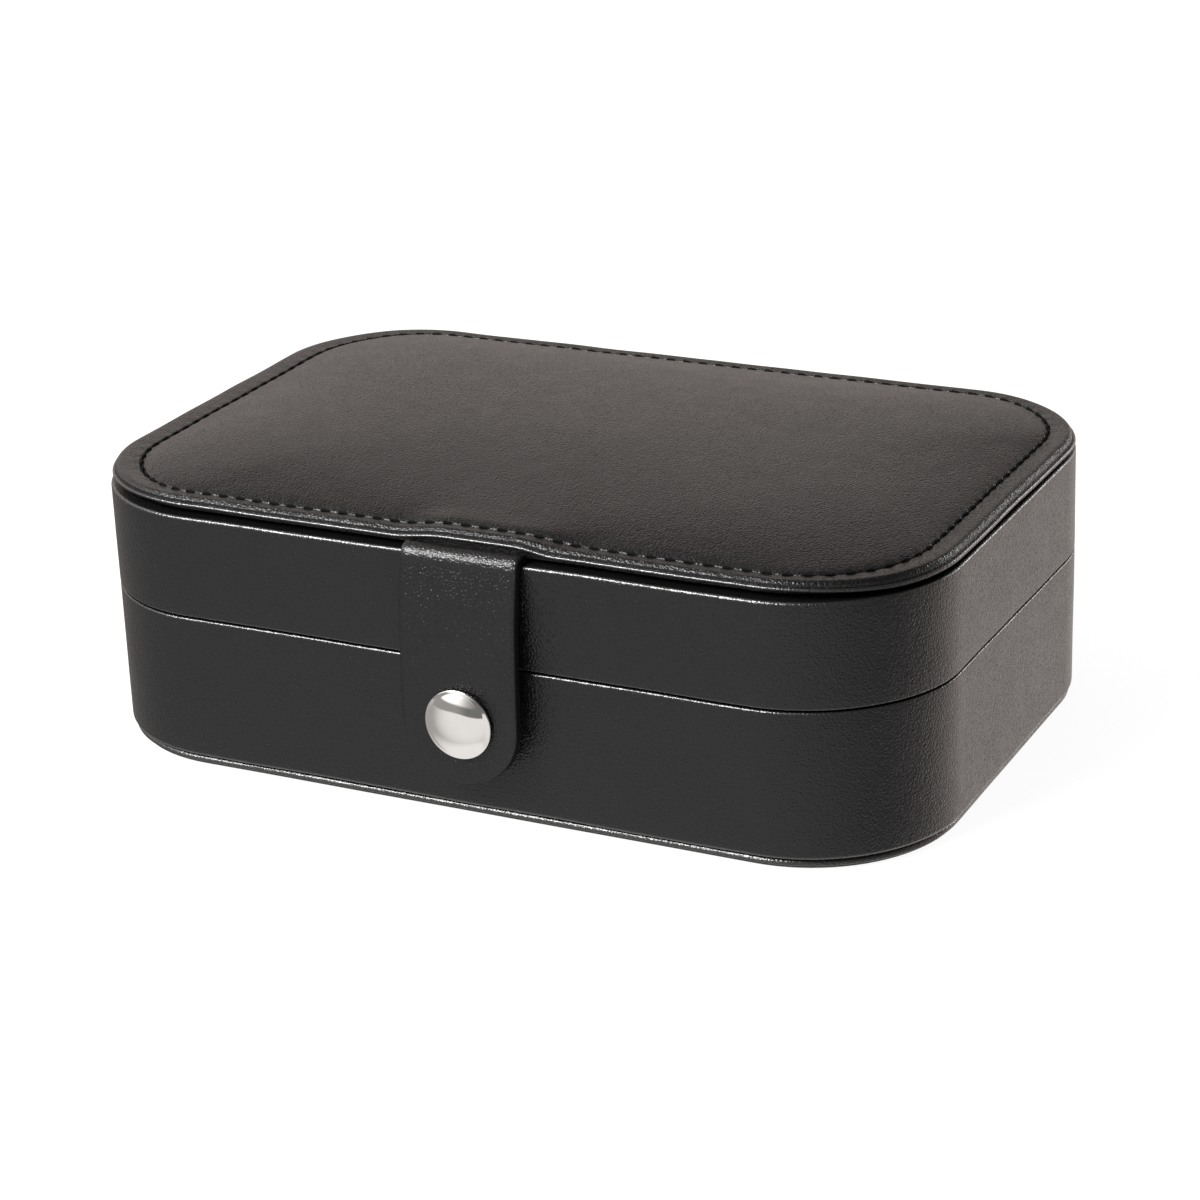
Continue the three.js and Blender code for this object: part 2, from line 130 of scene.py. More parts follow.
class Look(Nodes):
    """A material whose sockets can be a number, a colour or another node's output."""

    def __init__(self, name, **sockets):
        self.material = bpy.data.materials.new(name)
        self.material.use_nodes = True
        super().__init__(self.material.node_tree)
        self.shader = self.tree.nodes["Principled BSDF"]
        self.place = self.node("ShaderNodeTexCoord").outputs["Object"]
        self.give(**sockets)

    def give(self, **sockets):
        """Sets the shader's sockets, named with _ for a space."""
        for socket, value in sockets.items():
            self.put(self.shader, socket.replace("_", " "), value)

    def mapped(self, **sockets):
        return self.node("ShaderNodeMapping", {"Vector": self.place, **sockets}).outputs[0]

    def noise(self, size, detail=2.0, roughness=0.5, stretch=None):
        place = self.mapped(Scale=stretch) if stretch else self.place
        sockets = {"Vector": place, "Scale": 1 / size, "Detail": detail, "Roughness": roughness}
        return self.node("ShaderNodeTexNoise", sockets).outputs["Fac"]

    def cells(self, size, feature="F1"):
        sockets = {"Vector": self.place, "Scale": 1 / size}
        return self.node("ShaderNodeTexVoronoi", sockets, feature=feature).outputs["Distance"]

    def wave(self, place, scale, distortion=0.0, **settings):
        sockets = {"Vector": place, "Scale": scale, "Distortion": distortion}
        return self.node("ShaderNodeTexWave", sockets, **settings).outputs["Fac"]

    def attribute(self, name):
        return self.node("ShaderNodeAttribute", attribute_name=name).outputs["Fac"]

    def bump(self, height, distance, strength=1.0, under=None):
        sockets = {"Height": height, "Distance": distance, "Strength": strength}
        if under is not None:
            sockets["Normal"] = under
        return self.node("ShaderNodeBump", sockets).outputs["Normal"]


def srgb(red, green, blue):
    """A linear colour from its 0 to 255 display values."""
    linear = []
    for value in (red, green, blue):
        share = value / 255
        linear.append(share / 12.92 if share <= 0.04045 else ((share + 0.055) / 1.055) ** 2.4)
    return (*linear, 1)


def leather_look():
    """Black leatherette: fine pebbles between creases. Its rounded edges are polished, and their lighter
    colour is a painted highlight.
    """
    look = Look("leather", IOR=1.46)
    pebbles = look.cells(0.0004, "SMOOTH_F1")
    creases = look.cells(0.00062, "DISTANCE_TO_EDGE")
    polish_and_highlight = look.attribute("polish_and_highlight")
    dome = look.math("MULTIPLY", pebbles, -0.8)
    valley = look.range(creases, 0.0, 0.35, 0.0, 0.45)
    fine = look.math("MULTIPLY", look.noise(0.0003, 2.0), 0.25)
    height = look.math("ADD", look.math("ADD", dome, valley), fine)
    relief = look.range(polish_and_highlight, 0.0, 1.0, 1.12, 0.55)
    soft = look.bump(look.noise(0.0035, 3.0), 0.0002, 0.2)
    patches = look.noise(0.02, 4.0, 0.6)
    tone = look.blend(patches, srgb(11, 11, 11), srgb(17, 16, 16))
    rough = look.range(look.noise(0.006, 3.0), 0.3, 0.7, 0.28, 0.33)
    look.give(
        Normal=look.bump(height, 0.0001, relief, soft),
        # Lighter colour on the marked edges is a painted highlight; the lower roughness and higher specular
        # there are their polish.
        Base_Color=look.blend(look.math("MULTIPLY", polish_and_highlight, 0.4), tone, srgb(44, 43, 42)),
        Roughness=look.math("SUBTRACT", rough, look.math("MULTIPLY", polish_and_highlight, 0.06)),
        Specular_IOR_Level=look.range(polish_and_highlight, 0.4, 1.0, 0.5, 1.4),
    )
    return look.material


def edge_paint_and_groove_shade_look():
    """Matt black paint for the strap's cut edges. Put in the seam's groove, the same dark colour is painted
    shade.
    """
    look = Look("edge_paint_and_groove_shade", Roughness=0.85, IOR=1.25)
    paint = look.noise(0.0007, 3.0)
    look.give(Base_Color=look.blend(paint, srgb(12, 12, 12), srgb(22, 22, 22)))
    look.give(Normal=look.bump(paint, 0.0001, 0.6))
    return look.material


def velvet_look():
    """Charcoal velvet: a short pile that leans in patches."""
    look = Look("velvet", Roughness=0.95, IOR=1.35)
    look.give(Sheen_Weight=0.55, Sheen_Roughness=0.35, Sheen_Tint=srgb(190, 186, 188))
    lean = look.noise(0.009, 4.0, 0.65)
    pile = look.noise(0.00035, 2.0)
    tone = look.blend(look.range(lean, 0.35, 0.65, 0.0, 1.0), srgb(38, 37, 39), srgb(60, 58, 61))
    look.give(Base_Color=look.blend(look.range(pile, 0.3, 0.75, 0.0, 1.0), srgb(30, 29, 31), tone))
    look.give(Normal=look.bump(pile, 0.0002, 0.7, look.bump(lean, 0.0004, 0.4)))
    return look.material


def board_look():
    """Recycled greyboard with fibres and dark specks."""
    look = Look("board", Roughness=0.92)
    fibres = look.noise(0.0012, 5.0, 0.7, (0.35, 1.0, 3.0))
    specks = look.range(look.noise(0.0006, 1.0), 0.62, 0.72, 0.0, 1.0)
    tone = look.blend(fibres, srgb(128, 121, 111), srgb(156, 149, 138))
    look.give(Base_Color=look.blend(specks, tone, srgb(92, 86, 79)))
    look.give(Normal=look.bump(fibres, 0.0001, 0.6))
    return look.material


def foam_look():
    """Cream open-cell foam, darker in its pits as painted shade."""
    look = Look("foam", Roughness=0.97)
    cells = look.cells(0.0011)
    deep = look.range(cells, 0.25, 0.6, 0.0, 1.0)
    # Darker colour where the cells sink in is painted shade in the pits.
    look.give(Base_Color=look.blend(deep, srgb(222, 214, 194), srgb(176, 166, 143)))
    look.give(Normal=look.bump(cells, 0.0004, -0.8))
    return look.material


def thread_look():
    """Matt black twisted thread."""
    look = Look("thread", Roughness=0.85, IOR=1.25)
    twist = look.wave(look.mapped(Rotation=(0.0, 0.5, 0.7)), 1400.0, 1.0)
    look.give(Base_Color=look.blend(twist, srgb(5, 5, 5), srgb(14, 14, 14)))
    look.give(Normal=look.bump(twist, 0.00008, 0.8))
    return look.material


def elastic_look():
    """Black braided elastic: fine ribs along its length."""
    look = Look("elastic", Roughness=0.8, Sheen_Weight=0.2)
    ribs = look.wave(look.place, 520.0, bands_direction="X")
    braid = look.math("MULTIPLY", ribs, look.noise(0.0004, 2.0))
    look.give(Base_Color=look.blend(braid, srgb(20, 20, 21), srgb(58, 56, 57)))
    look.give(Normal=look.bump(braid, 0.0003, 0.8))
    return look.material


def nickel_look():
    """Polished nickel with a trace of fine scratches."""
    look = Look("nickel", Metallic=1.0)
    haze = look.noise(0.0015, 4.0, 0.6)
    scratches = look.noise(0.0006, 3.0, 0.6, (0.15, 1.0, 1.0))
    look.give(Base_Color=look.blend(haze, srgb(240, 235, 231), srgb(247, 243, 239)))
    look.give(Roughness=look.range(haze, 0.3, 0.7, 0.05, 0.07))
    look.give(Normal=look.bump(scratches, 0.000004, 0.5))
    return look.material


LOOKS = {
    "leather": leather_look(),
    "edge": edge_paint_and_groove_shade_look(),
    "velvet": velvet_look(),
    "board": board_look(),
    "foam": foam_look(),
    "thread": thread_look(),
    "elastic": elastic_look(),
    "nickel": nickel_look(),
}


# ---------------------------------------------------------------- mesh tools

def spread(start, end, steps):
    """Evenly spaced values from start to end, both included."""
    return [start + (end - start) * step / steps for step in range(steps + 1)]


def full_turn(steps):
    """Evenly spaced angles round a circle."""
    return [2 * math.pi * step / steps for step in range(steps)]


def ripple(point, size, height, seed=0.0):
    """A smooth random height at a point, whose waves are about `size` long."""
    return height * noise.noise(Vector(point) / size + Vector((seed, seed, seed)))


def turn_outward(mesh):
    """Turns the faces of a closed mesh outward."""
    body = bmesh.new()
    body.from_mesh(mesh)
    if all(edge.is_manifold for edge in body.edges):
        bmesh.ops.recalc_face_normals(body, faces=body.faces)
        body.to_mesh(mesh)
    body.free()


def add_object(name, data):
    """A new object in the scene."""
    made = bpy.data.objects.new(name, data)
    bpy.context.scene.collection.objects.link(made)
    return made


def make_piece(name, vertices, faces, slot, polish_and_highlight=None, crease=38):
    """A smooth-shaded mesh with outward faces, whose edges sharper than `crease` degrees stay sharp."""
    mesh = bpy.data.meshes.new(name)
    mesh.from_pydata(vertices, [], faces)
    turn_outward(mesh)
    mesh.polygons.foreach_set("use_smooth", [True] * len(mesh.polygons))
    mesh.set_sharp_from_angle(angle=math.radians(crease))
    if slot == "leather":
        values = polish_and_highlight or [0.0] * len(vertices)
        mesh.attributes.new("polish_and_highlight", "FLOAT", "POINT").data.foreach_set("value", values)
    mesh.materials.append(LOOKS[slot])
    made = add_object(name, mesh)
    return made


def use_modifier(made, kind, **settings):
    """Applies one modifier to a piece."""
    modifier = made.modifiers.new(kind, kind)
    for key, value in settings.items():
        setattr(modifier, key, value)
    evaluated = made.evaluated_get(bpy.context.evaluated_depsgraph_get())
    mesh = bpy.data.meshes.new_from_object(evaluated)
    made.modifiers.remove(modifier)
    made.data = mesh


def skin_faces(rows, count, closed_rows, closed_row=True):
    """Quads between successive rows of `count` vertices."""
    faces = []
    for row in range(rows if closed_rows else rows - 1):
        low = row * count
        high = (row + 1) % rows * count
        for i in range(count if closed_row else count - 1):
            following = (i + 1) % count
            faces.append((low + i, low + following, high + following, high + i))
    return faces


def box_corners(left, right, low, high, low_edge, high_edge):
    """The corners of a rectangular section, with the radii of its lower and upper edges."""
    lower = [(left, low, low_edge), (right, low, low_edge)]
    return lower + [(right, high, high_edge), (left, high, high_edge)]


def softened(corners, steps=5, spacing=0.003):
    """A closed section through (a, b, radius) corners, as (a, b, polish) points, where the third value
    marks rounded edges for polish and a painted highlight. Long sides are divided.
    """
    section = []
    for i, (a, b, radius) in enumerate(corners):
        here = Vector((a, b))
        before = Vector(corners[i - 1][:2]) - here
        after = Vector(corners[(i + 1) % len(corners)][:2]) - here
        if radius == 0:
            section.append((here, 0.0))
            continue
        start = here + before.normalized() * radius
        end = here + after.normalized() * radius
        for share in spread(0, 1, steps):
            point = start * (1 - share) ** 2 + here * 2 * share * (1 - share) + end * share**2
            section.append((point, math.sin(math.pi * share)))
    divided = []
    for i, (point, polish_and_highlight) in enumerate(section):
        following = section[(i + 1) % len(section)][0]
        divided.append((point.x, point.y, polish_and_highlight))
        parts = math.ceil((following - point).length / spacing)
        for part in range(1, parts):
            between = point.lerp(following, part / parts)
            divided.append((between.x, between.y, 0.0))
    return divided


# The case's outline has eight stretches: four sides (0, 2, 4, 6), each followed by a corner.
# Stretch 0 is the +X side, and they run anticlockwise seen from above.
SIDE_STEPS_X, SIDE_STEPS_Y, CORNER_STEPS = 106, 54, 42


def outline_at(stretch, share):
    """A point on the case's outline, and the outward normal there."""
    turn = stretch // 2 * math.pi / 2
    core = Vector((HALF_X - CORNER, HALF_Y - CORNER))
    if stretch % 2 == 0:
        normal = Vector((math.cos(turn), math.sin(turn)))
        along = Vector((-normal.y, normal.x))
        reach, half = core if stretch % 4 == 0 else core.yx
        return normal * (reach + CORNER) + along * half * (2 * share - 1), normal
    centre = Vector((core.x if stretch in (1, 7) else -core.x, core.y if stretch in (1, 3) else -core.y))
    angle = turn + share * math.pi / 2
    normal = Vector((math.cos(angle), math.sin(angle)))
    return centre + normal * CORNER, normal


def make_outline(coarse=1):
    """Points round the case with their normals; `coarse` 2 takes every second one."""
    points = []
    for stretch in range(8):
        steps = CORNER_STEPS if stretch % 2 else (SIDE_STEPS_Y if stretch % 4 == 0 else SIDE_STEPS_X)
        points += [outline_at(stretch, step * coarse / steps) for step in range(steps // coarse)]
    return points


OUTLINES = {coarse: make_outline(coarse) for coarse in (1, 2)}


def seam_stations(inset, pitch):
    """Evenly spaced places along the outline drawn in by `inset`: (point, normal)."""
    lengths = []
    for stretch in range(8):
        straight = 2 * ((HALF_Y if stretch % 4 == 0 else HALF_X) - CORNER)
        lengths.append((CORNER - inset) * math.pi / 2 if stretch % 2 else straight)
    total = sum(lengths)
    count = round(total / pitch)
    stations = []
    for i in range(count):
        left, stretch = (i + 0.5) * total / count, 0
        while left > lengths[stretch]:
            left -= lengths[stretch]
            stretch += 1
        point, normal = outline_at(stretch, left / lengths[stretch])
        stations.append((point - normal * inset, normal))
    return stations


def swept_rows(profile, shift, coarse=1):
    """A row of points round the case for each (inset, z, wear) of the profile. `shift` moves a point
    and is given its place, its outward normal and its inset."""
    vertices, polish_and_highlight = [], []
    for inset, z, polish_and_highlight_here in profile:
        for point, normal in OUTLINES[coarse]:
            place = point - normal * inset
            vertices.append(shift(Vector((place.x, place.y, z)), Vector((normal.x, normal.y, 0)), inset))
            polish_and_highlight.append(polish_and_highlight_here)
    return vertices, polish_and_highlight


def still(point, normal, inset):
    """Leaves a point where it is."""
    return point


def board_wave(point, normal, inset):
    """Leather over board isn't quite flat: long shallow waves, and edges that wander a little."""
    out = ripple(point, 0.023, 0.00009) + ripple(point, 0.007, 0.00002, 5)
    return point + normal * out + Vector((0, 0, ripple(point, 0.016, 0.00016, 9)))


def swept(name, corners, slot, shift):
    """A ring round the case with the closed section `corners`."""
    profile = softened(corners)
    vertices, polish_and_highlight = swept_rows(profile, shift)
    faces = skin_faces(len(profile), len(OUTLINES[1]), True)
    return make_piece(name, vertices, faces, slot, polish_and_highlight)


def patch_ring(boundary, coarse):
    """The size of a grid that fills a closed row round the case, and the row from the grid's +X +Y
    corner on. The row itself starts at the front end of the +X side, and the grid's corners are at
    the middles of the case's corners."""
    across = (SIDE_STEPS_X + CORNER_STEPS) // coarse
    deep = (SIDE_STEPS_Y + CORNER_STEPS) // coarse
    start = (SIDE_STEPS_Y + CORNER_STEPS // 2) // coarse
    return across, deep, boundary[start:] + boundary[:start]


def patch_rows(boundary, coarse=1):
    """A grid of rows that fills a closed row of points. The rows run along +X, from the front to
    the back."""
    across, deep, ring = patch_ring(boundary, coarse)
    back = ring[: across + 1][::-1]
    left = ring[across : across + deep + 1][::-1]
    front = ring[across + deep : 2 * across + deep + 1]
    right = ring[2 * across + deep :] + ring[:1]
    rows = []
    for j, v in enumerate(spread(0, 1, deep)):
        row = []
        for i, u in enumerate(spread(0, 1, across)):
            sides = front[i] * (1 - v) + back[i] * v + left[j] * (1 - u) + right[j] * u
            low = front[0] * (1 - u) + front[-1] * u
            high = back[0] * (1 - u) + back[-1] * u
            row.append(sides - low * (1 - v) - high * v)
        rows.append(row)
    return rows


def patch_faces(boundary_index, inner_start, coarse=1):
    """Quads of a patch whose rim reuses existing vertices, and whose inner vertices start at an index."""
    across, deep, ring = patch_ring(boundary_index, coarse)

    def index(i, j):
        if j == deep:
            return ring[across - i]
        if j == 0:
            return ring[across + deep + i]
        if i == 0:
            return ring[across + deep - j]
        if i == across:
            return ring[(2 * across + deep + j) % len(ring)]
        return inner_start + (j - 1) * (across - 1) + i - 1

    return [
        (index(i, j), index(i + 1, j), index(i + 1, j + 1), index(i, j + 1))
        for j in range(deep)
        for i in range(across)
    ]


def filled(name, profile, slot, shift=still, top=None, coarse=2):
    """A plate round the case's middle: the open section `profile` runs from its lower face out and up
    to its upper face, and a grid fills each face. `top` gives the upper face's height at a point."""
    vertices, polish_and_highlight = swept_rows(profile, shift, coarse)
    count = len(OUTLINES[coarse])
    faces = skin_faces(len(profile), count, False)
    for first, upward in ((0, False), ((len(profile) - 1) * count, True)):
        rim = [vertices[first + i].copy() for i in range(count)]
        grid = patch_rows(rim, coarse)
        start = len(vertices)
        for row in grid[1:-1]:
            for point in row[1:-1]:
                if upward and top:
                    point.z = top(point)
                vertices.append(point)
                polish_and_highlight.append(0.0)
        faces += patch_faces(list(range(first, first + count)), start, coarse)
    return make_piece(name, vertices, faces, slot, polish_and_highlight)


def lofted(name, sections, slot, polish_and_highlight=None, crease=38):
    """A solid through closed sections of equal length, with a flat face at each end."""
    count = len(sections[0])
    vertices = [point for section in sections for point in section]
    faces = skin_faces(len(sections), count, False)
    last = (len(sections) - 1) * count
    faces.append(tuple(range(count))[::-1])
    faces.append(tuple(range(last, last + count)))
    return make_piece(name, vertices, faces, slot, polish_and_highlight, crease)


def turned(name, profile, slot, steps=96):
    """A turned piece on the snap's axis. `profile` is (radius, distance out of the wall's face), and
    starts and ends on the axis."""
    rings = []
    for radius, out in profile[1:-1]:
        ring = []
        for angle in full_turn(steps):
            ring.append(SNAP + Vector((radius * math.cos(angle), -out, radius * math.sin(angle))))
        rings.append(ring)
    vertices = [point for ring in rings for point in ring]
    vertices += [SNAP - Vector((0, profile[0][1], 0)), SNAP - Vector((0, profile[-1][1], 0))]
    faces = skin_faces(len(rings), steps, False)
    foot, tip = len(vertices) - 2, len(vertices) - 1
    last = (len(rings) - 1) * steps
    for i in range(steps):
        following = (i + 1) % steps
        faces.append((foot, i, following))
        faces.append((tip, last + following, last + i))
    return make_piece(name, vertices, faces, slot)


CLOTH_FRAMES = 20
PRESSURE = 4.0


def puff(made, pinned, pressure, cap):
    """Inflates a piece as cloth, and moves no point further than `cap` from where it was."""
    rest = [v.co.copy() for v in made.data.vertices]
    group = made.vertex_groups.new(name="pinned")
    group.add(pinned, 1.0, "REPLACE")
    modifier = made.modifiers.new("Cloth", "CLOTH")
    settings = modifier.settings
    settings.use_pressure = True
    settings.uniform_pressure_force = pressure
    settings.vertex_group_mass = "pinned"
    settings.effector_weights.gravity = 0
    settings.quality = 5
    modifier.point_cache.frame_start = 1
    modifier.point_cache.frame_end = CLOTH_FRAMES
    scene = bpy.context.scene
    for step in range(1, CLOTH_FRAMES + 1):
        scene.frame_set(step)
    evaluated = made.evaluated_get(bpy.context.evaluated_depsgraph_get())
    moved = [v.co.copy() for v in evaluated.data.vertices]
    made.modifiers.remove(modifier)
    made.vertex_groups.clear()
    scene.frame_set(1)
    for vertex, before, after in zip(made.data.vertices, rest, moved):
        travel = after - before
        if travel.length > cap:
            travel *= cap / travel.length
        vertex.co = before + travel
    made.data.update()


def stands_for(made, body, *nodes):
    """A piece rides one body and stands for these CAD nodes."""
    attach(made, body)
    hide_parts(*nodes)
    return made


# ---------------------------------------------------------------- walls

def wall_section(meet, far, far_edge):
    """The section of a wall's leather. It covers the board's outside from `meet`, where base and lid
    meet, to `far`, the wall's other end, whose edge has its own radius, and turns in over both."""
    turn_in = 0.009
    lip = HALF_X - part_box("base_lining")[1].x - 0.0003  # turned in as far as the velvet, less a hair
    meet_edge, lip_edge, inside = 0.0005, 0.0002, 0.0003
    skin = math.copysign(SKIN, far - meet)
    return [
        (turn_in, far, 0),
        (0, far, far_edge),
        (0, meet, meet_edge),
        (lip, meet, lip_edge),
        (lip, meet + skin, 0),
        (SKIN, meet + skin, inside),
        (SKIN, far - skin, inside),
        (turn_in, far - skin, 0),
    ]


def make_walls():
    """The leather of base and lid."""
    base = wall_section(case_high.z, case_low.z - BOTTOM_DROP, 0.0009)
    lid = wall_section(lid_low.z, lid_high.z, 0.0007)
    stands_for(swept("base_leather", base, "leather", board_wave), "base", "base_wrap")
    stands_for(swept("lid_leather", lid, "leather", board_wave), "lid", "lid_wrap")


PLATE_REACH = 0.004  # how far in from a plate's edge its rings go, before the grid


def lower_edge(inset, low, radius, steps):
    """A plate's rounded lower edge, from its underside out to its side, as (inset, z) points."""
    angles = spread(0, math.pi / 2, steps)
    return [(inset + radius * (1 - math.sin(a)), low + radius * (1 - math.cos(a))) for a in angles]


def upper_edge(inset, high, radius, steps):
    """A plate's rounded upper edge, from its side in to its top."""
    return [(edge, 2 * high - z) for edge, z in reversed(lower_edge(inset, high, radius, steps))]


def make_bottom():
    """The board under the base: an upper shoulder that is polished and carries a painted highlight, and a
    side that leans in to the foot.
    """
    foot_low, foot_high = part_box("bottom_board")
    inset = HALF_X - foot_high.x
    top = foot_high.z - BOTTOM_DROP
    foot_back, shoulder_out = 0.00035, 0.0003
    foot = lower_edge(inset + foot_back, foot_low.z, 0.0004, 4)
    shoulder = upper_edge(inset - shoulder_out, top, 0.0009, 8)
    section = [(inset + PLATE_REACH, foot_low.z, 0.0)]
    section += [(edge, z, 0.0) for edge, z in foot]
    section += [(edge, z, 1.0 if 0 < i < 8 else 0.3) for i, (edge, z) in enumerate(shoulder)]
    section.append((inset + PLATE_REACH, top, 0.0))
    board = filled("bottom_leather", section, "leather", board_foot)
    stands_for(board, "base", "bottom_board")


def board_foot(point, normal, inset):
    """The foot's edge wanders a little, while its underside stays flat."""
    return point + normal * ripple(point, 0.02, 0.0001, 3)


def pile_wave(point, normal, inset):
    """Velvet on a wall bulges inwards a little."""
    return point - normal * ripple(point, 0.012, 0.00012, 7)


def cushion_wave(point, normal, inset):
    """Velvet on a floor lies in slight waves."""
    return point + Vector((0, 0, ripple(point, 0.015, 0.00006, 2)))


def make_linings():
    """The velvet of walls, floor and ceiling. A wall's velvet is rounded where base and lid meet."""
    soft = 0.00035
    for part, low_edge, high_edge in (("base", 0, soft), ("lid", soft, 0)):
        low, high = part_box(f"{part}_lining")
        outer = HALF_X - high.x
        corners = box_corners(outer, outer + SKIN, low.z, high.z, low_edge, high_edge)
        stands_for(swept(f"{part}_velvet", corners, "velvet", pile_wave), part, f"{part}_lining")
    plates = (("floor_velvet", "floor_lining", "base"), ("ceiling_velvet", "lid_ceiling", "lid"))
    for name, node, body in plates:
        low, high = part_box(node)
        inset = HALF_X - high.x
        edges = lower_edge(inset, low.z, 0.0002, 5) + upper_edge(inset, high.z, 0.0002, 5)
        section = [(inset + PLATE_REACH, low.z), *edges, (inset + PLATE_REACH, high.z)]
        plate = filled(name, [(edge, z, 0.0) for edge, z in section], "velvet", cushion_wave)
        stands_for(plate, body, node)


def paint_boards():
    """The greyboard pieces are hidden or nearly so: they keep their CAD shape."""
    for node in ("base_frame", "floor_board", "lid_frame", "lid_top_board", "panel_spacer", "panel_card"):
        shown = frame["nodes"][node]
        shown.data.materials.clear()
        shown.data.materials.append(LOOKS["board"])


# ---------------------------------------------------------------- padded panel

PANEL_INSET = HALF_X - panel_high.x
SEAM_INSET = HALF_X - (seam_high.x - 0.00025)
CROWN_START = SEAM_INSET + GROOVE_HALF
CROWN_END = 0.048  # the inset at which the crown is flat
CROWN_POWER = 3.2
CROWN_CORNER = 0.0205  # the crown's contours have at least this corner radius
CROWN_FOOT = panel_low.z + 0.002
SEAM_SWELL = 0.0002  # the foam swells beside the seam
PATCH_INSET = 0.008  # the cover's rings end here, and a grid fills its middle
STRAP_RISE = 0.00095  # how far the panel's edge rides up over the strap's end


def ramp(value, start, end):
    """0 before the start and 1 past the end, with a soft curve between."""
    share = max(0.0, min(1.0, (value - start) / (end - start)))
    return share * share * (3 - 2 * share)


def panel_rise(point):
    """How far the panel's edge stands up at a point: over the strap's end, and fading in the crown.
    It runs out further on the right, as in the photo."""
    if point.y > 0:
        return 0.0
    depth = max(0.0, point.y + HALF_Y - PANEL_INSET)
    left = ramp(point.x, strap_low.x - 0.0035, strap_low.x + 0.0065)
    right = 1 - ramp(point.x, strap_high.x - 0.002, strap_high.x + 0.0055 + depth)
    return STRAP_RISE * left * right * math.exp(-((max(0.0, depth - 0.0042) / 0.0045) ** 2))


def inset_of(x, y):
    """How far in from the case's outline the crown's contour through a point lies."""
    low, high = 0.0, 0.0535
    for _ in range(22):
        inset = (low + high) / 2
        half_y = HALF_Y - inset
        radius = min(max(CORNER - inset, CROWN_CORNER), 0.95 * half_y)
        across = abs(x) - (HALF_X - inset) + radius
        deep = abs(y) - half_y + radius
        outside = math.hypot(max(across, 0.0), max(deep, 0.0)) + min(max(across, deep), 0.0) - radius
        if outside > 0:
            high = inset
        else:
            low = inset
    return low


def crown_height(point):
    """The padded top's height at a point."""
    width = CROWN_END - CROWN_START
    share = max(0.0, min(1.0, (inset_of(point.x, point.y) - CROWN_START) / width))
    crown = CROWN_FOOT + (panel_high.z - CROWN_FOOT) * (1 - (1 - share) ** CROWN_POWER)
    crown += SEAM_SWELL * (1 - math.exp(-share * width / 0.0009)) * (1 - share) ** 4
    wave = ripple((point.x, point.y, 0), 0.03, 0.00012, 4) * min(1.0, 7 * share)
    return crown + panel_rise(point) + wave


def swollen_grid(rows):
    """The crown's grid, inflated as cloth that is held along the seam. Every second point is
    simulated, and the points between take the mean."""
    coarse = [row[::2] for row in rows[::2]]
    deep, across = len(coarse), len(coarse[0])
    flat = [point for row in coarse for point in row]
    faces = skin_faces(deep, across, False, False)
    sheet = make_piece("crown_cloth", flat, faces, "leather")
    rim = [i for i in range(len(flat)) if i // across in (0, deep - 1) or i % across in (0, across - 1)]
    puff(sheet, rim, PRESSURE, 0.0006)
    moved = [v.co - before for v, before in zip(sheet.data.vertices, flat)]
    bpy.data.objects.remove(sheet)

    def travel(i, j):
        i_low, j_low = i // 2, j // 2
        i_high, j_high = min((i + 1) // 2, across - 1), min((j + 1) // 2, deep - 1)
        near = [(i_low, j_low), (i_high, j_low), (i_low, j_high), (i_high, j_high)]
        return sum((moved[b * across + a] for a, b in near), Vector()) / 4

    return [[point + travel(i, j) for i, point in enumerate(row)] for j, row in enumerate(rows)]


GROOVE_STEPS = 10


def cover_profile():
    """The cover's outer face from its turned-in edge below, over the bead round the card, up the
    pillowed margin and through the seam's groove, to the start of the crown. The side under the bead
    stands back, and a crease parts the bead from the margin."""
    foot, margin = panel_low.z, CROWN_FOOT
    bead, bead_z = 0.00032, foot + 0.0008  # the bead's radius, and the height of its middle
    back = PANEL_INSET + 0.0007
    profile = [(inset, foot, 0.0) for inset in (PATCH_INSET, 0.005, back + 0.0006, back)]
    profile.append((back - 0.0001, bead_z - bead, 0.0))
    # The bead's front is marked in full for polish and a painted highlight, the rest of it a little.
    for step, angle in enumerate(spread(math.radians(-75), math.radians(155), 10)):
        inset = PANEL_INSET + bead * (1 - math.cos(angle))
        profile.append((inset, bead_z + bead * math.sin(angle), 1.0 if 3 < step < 9 else 0.3))
    crease = PANEL_INSET + 0.00055
    profile.append((crease, bead_z, 0.0))
    profile.append((crease + 0.00004, bead_z + 0.00025, 0.0))
    start, start_z = crease + 0.00006, bead_z + 0.0008
    top, top_z = start + 0.0008, margin + 0.00016
    for share in spread(0, 1, 8)[:-1]:
        level = start_z + (top_z - start_z) * (1 - (1 - share) ** 1.5)
        profile.append((start + (top - start) * share, level, 0.0))
    end = SEAM_INSET - GROOVE_HALF
    for share in spread(0, 1, 4):
        profile.append((top + (end - top) * share, top_z + (margin - top_z) * share, 0.0))
    for share in spread(-1, 1, GROOVE_STEPS)[1:]:
        depth = GROOVE_DEPTH * (0.5 + 0.5 * math.cos(math.pi * share)) ** 1.4
        profile.append((SEAM_INSET + share * GROOVE_HALF, margin - depth, 0.0))
    return profile


def end_pull(inset, normal):
    """At the box's ends the cover's rim overhangs more than in front, and at the left end its seam
    sits further in. This is how far a contour moves in there."""
    left = max(0.0, -normal.x) ** 1.6
    right = max(0.0, normal.x) ** 1.6
    rim = -0.0014 * left - 0.0013 * right
    seam = 0.00075 * left
    rim_end = 0.0025  # the rim moves as one this far in
    if inset < SEAM_INSET:
        share = max(0.0, inset - rim_end) / (SEAM_INSET - rim_end)
        return rim + (seam - rim) * share
    return seam * (1 - ramp(inset, CROWN_START, PATCH_INSET))


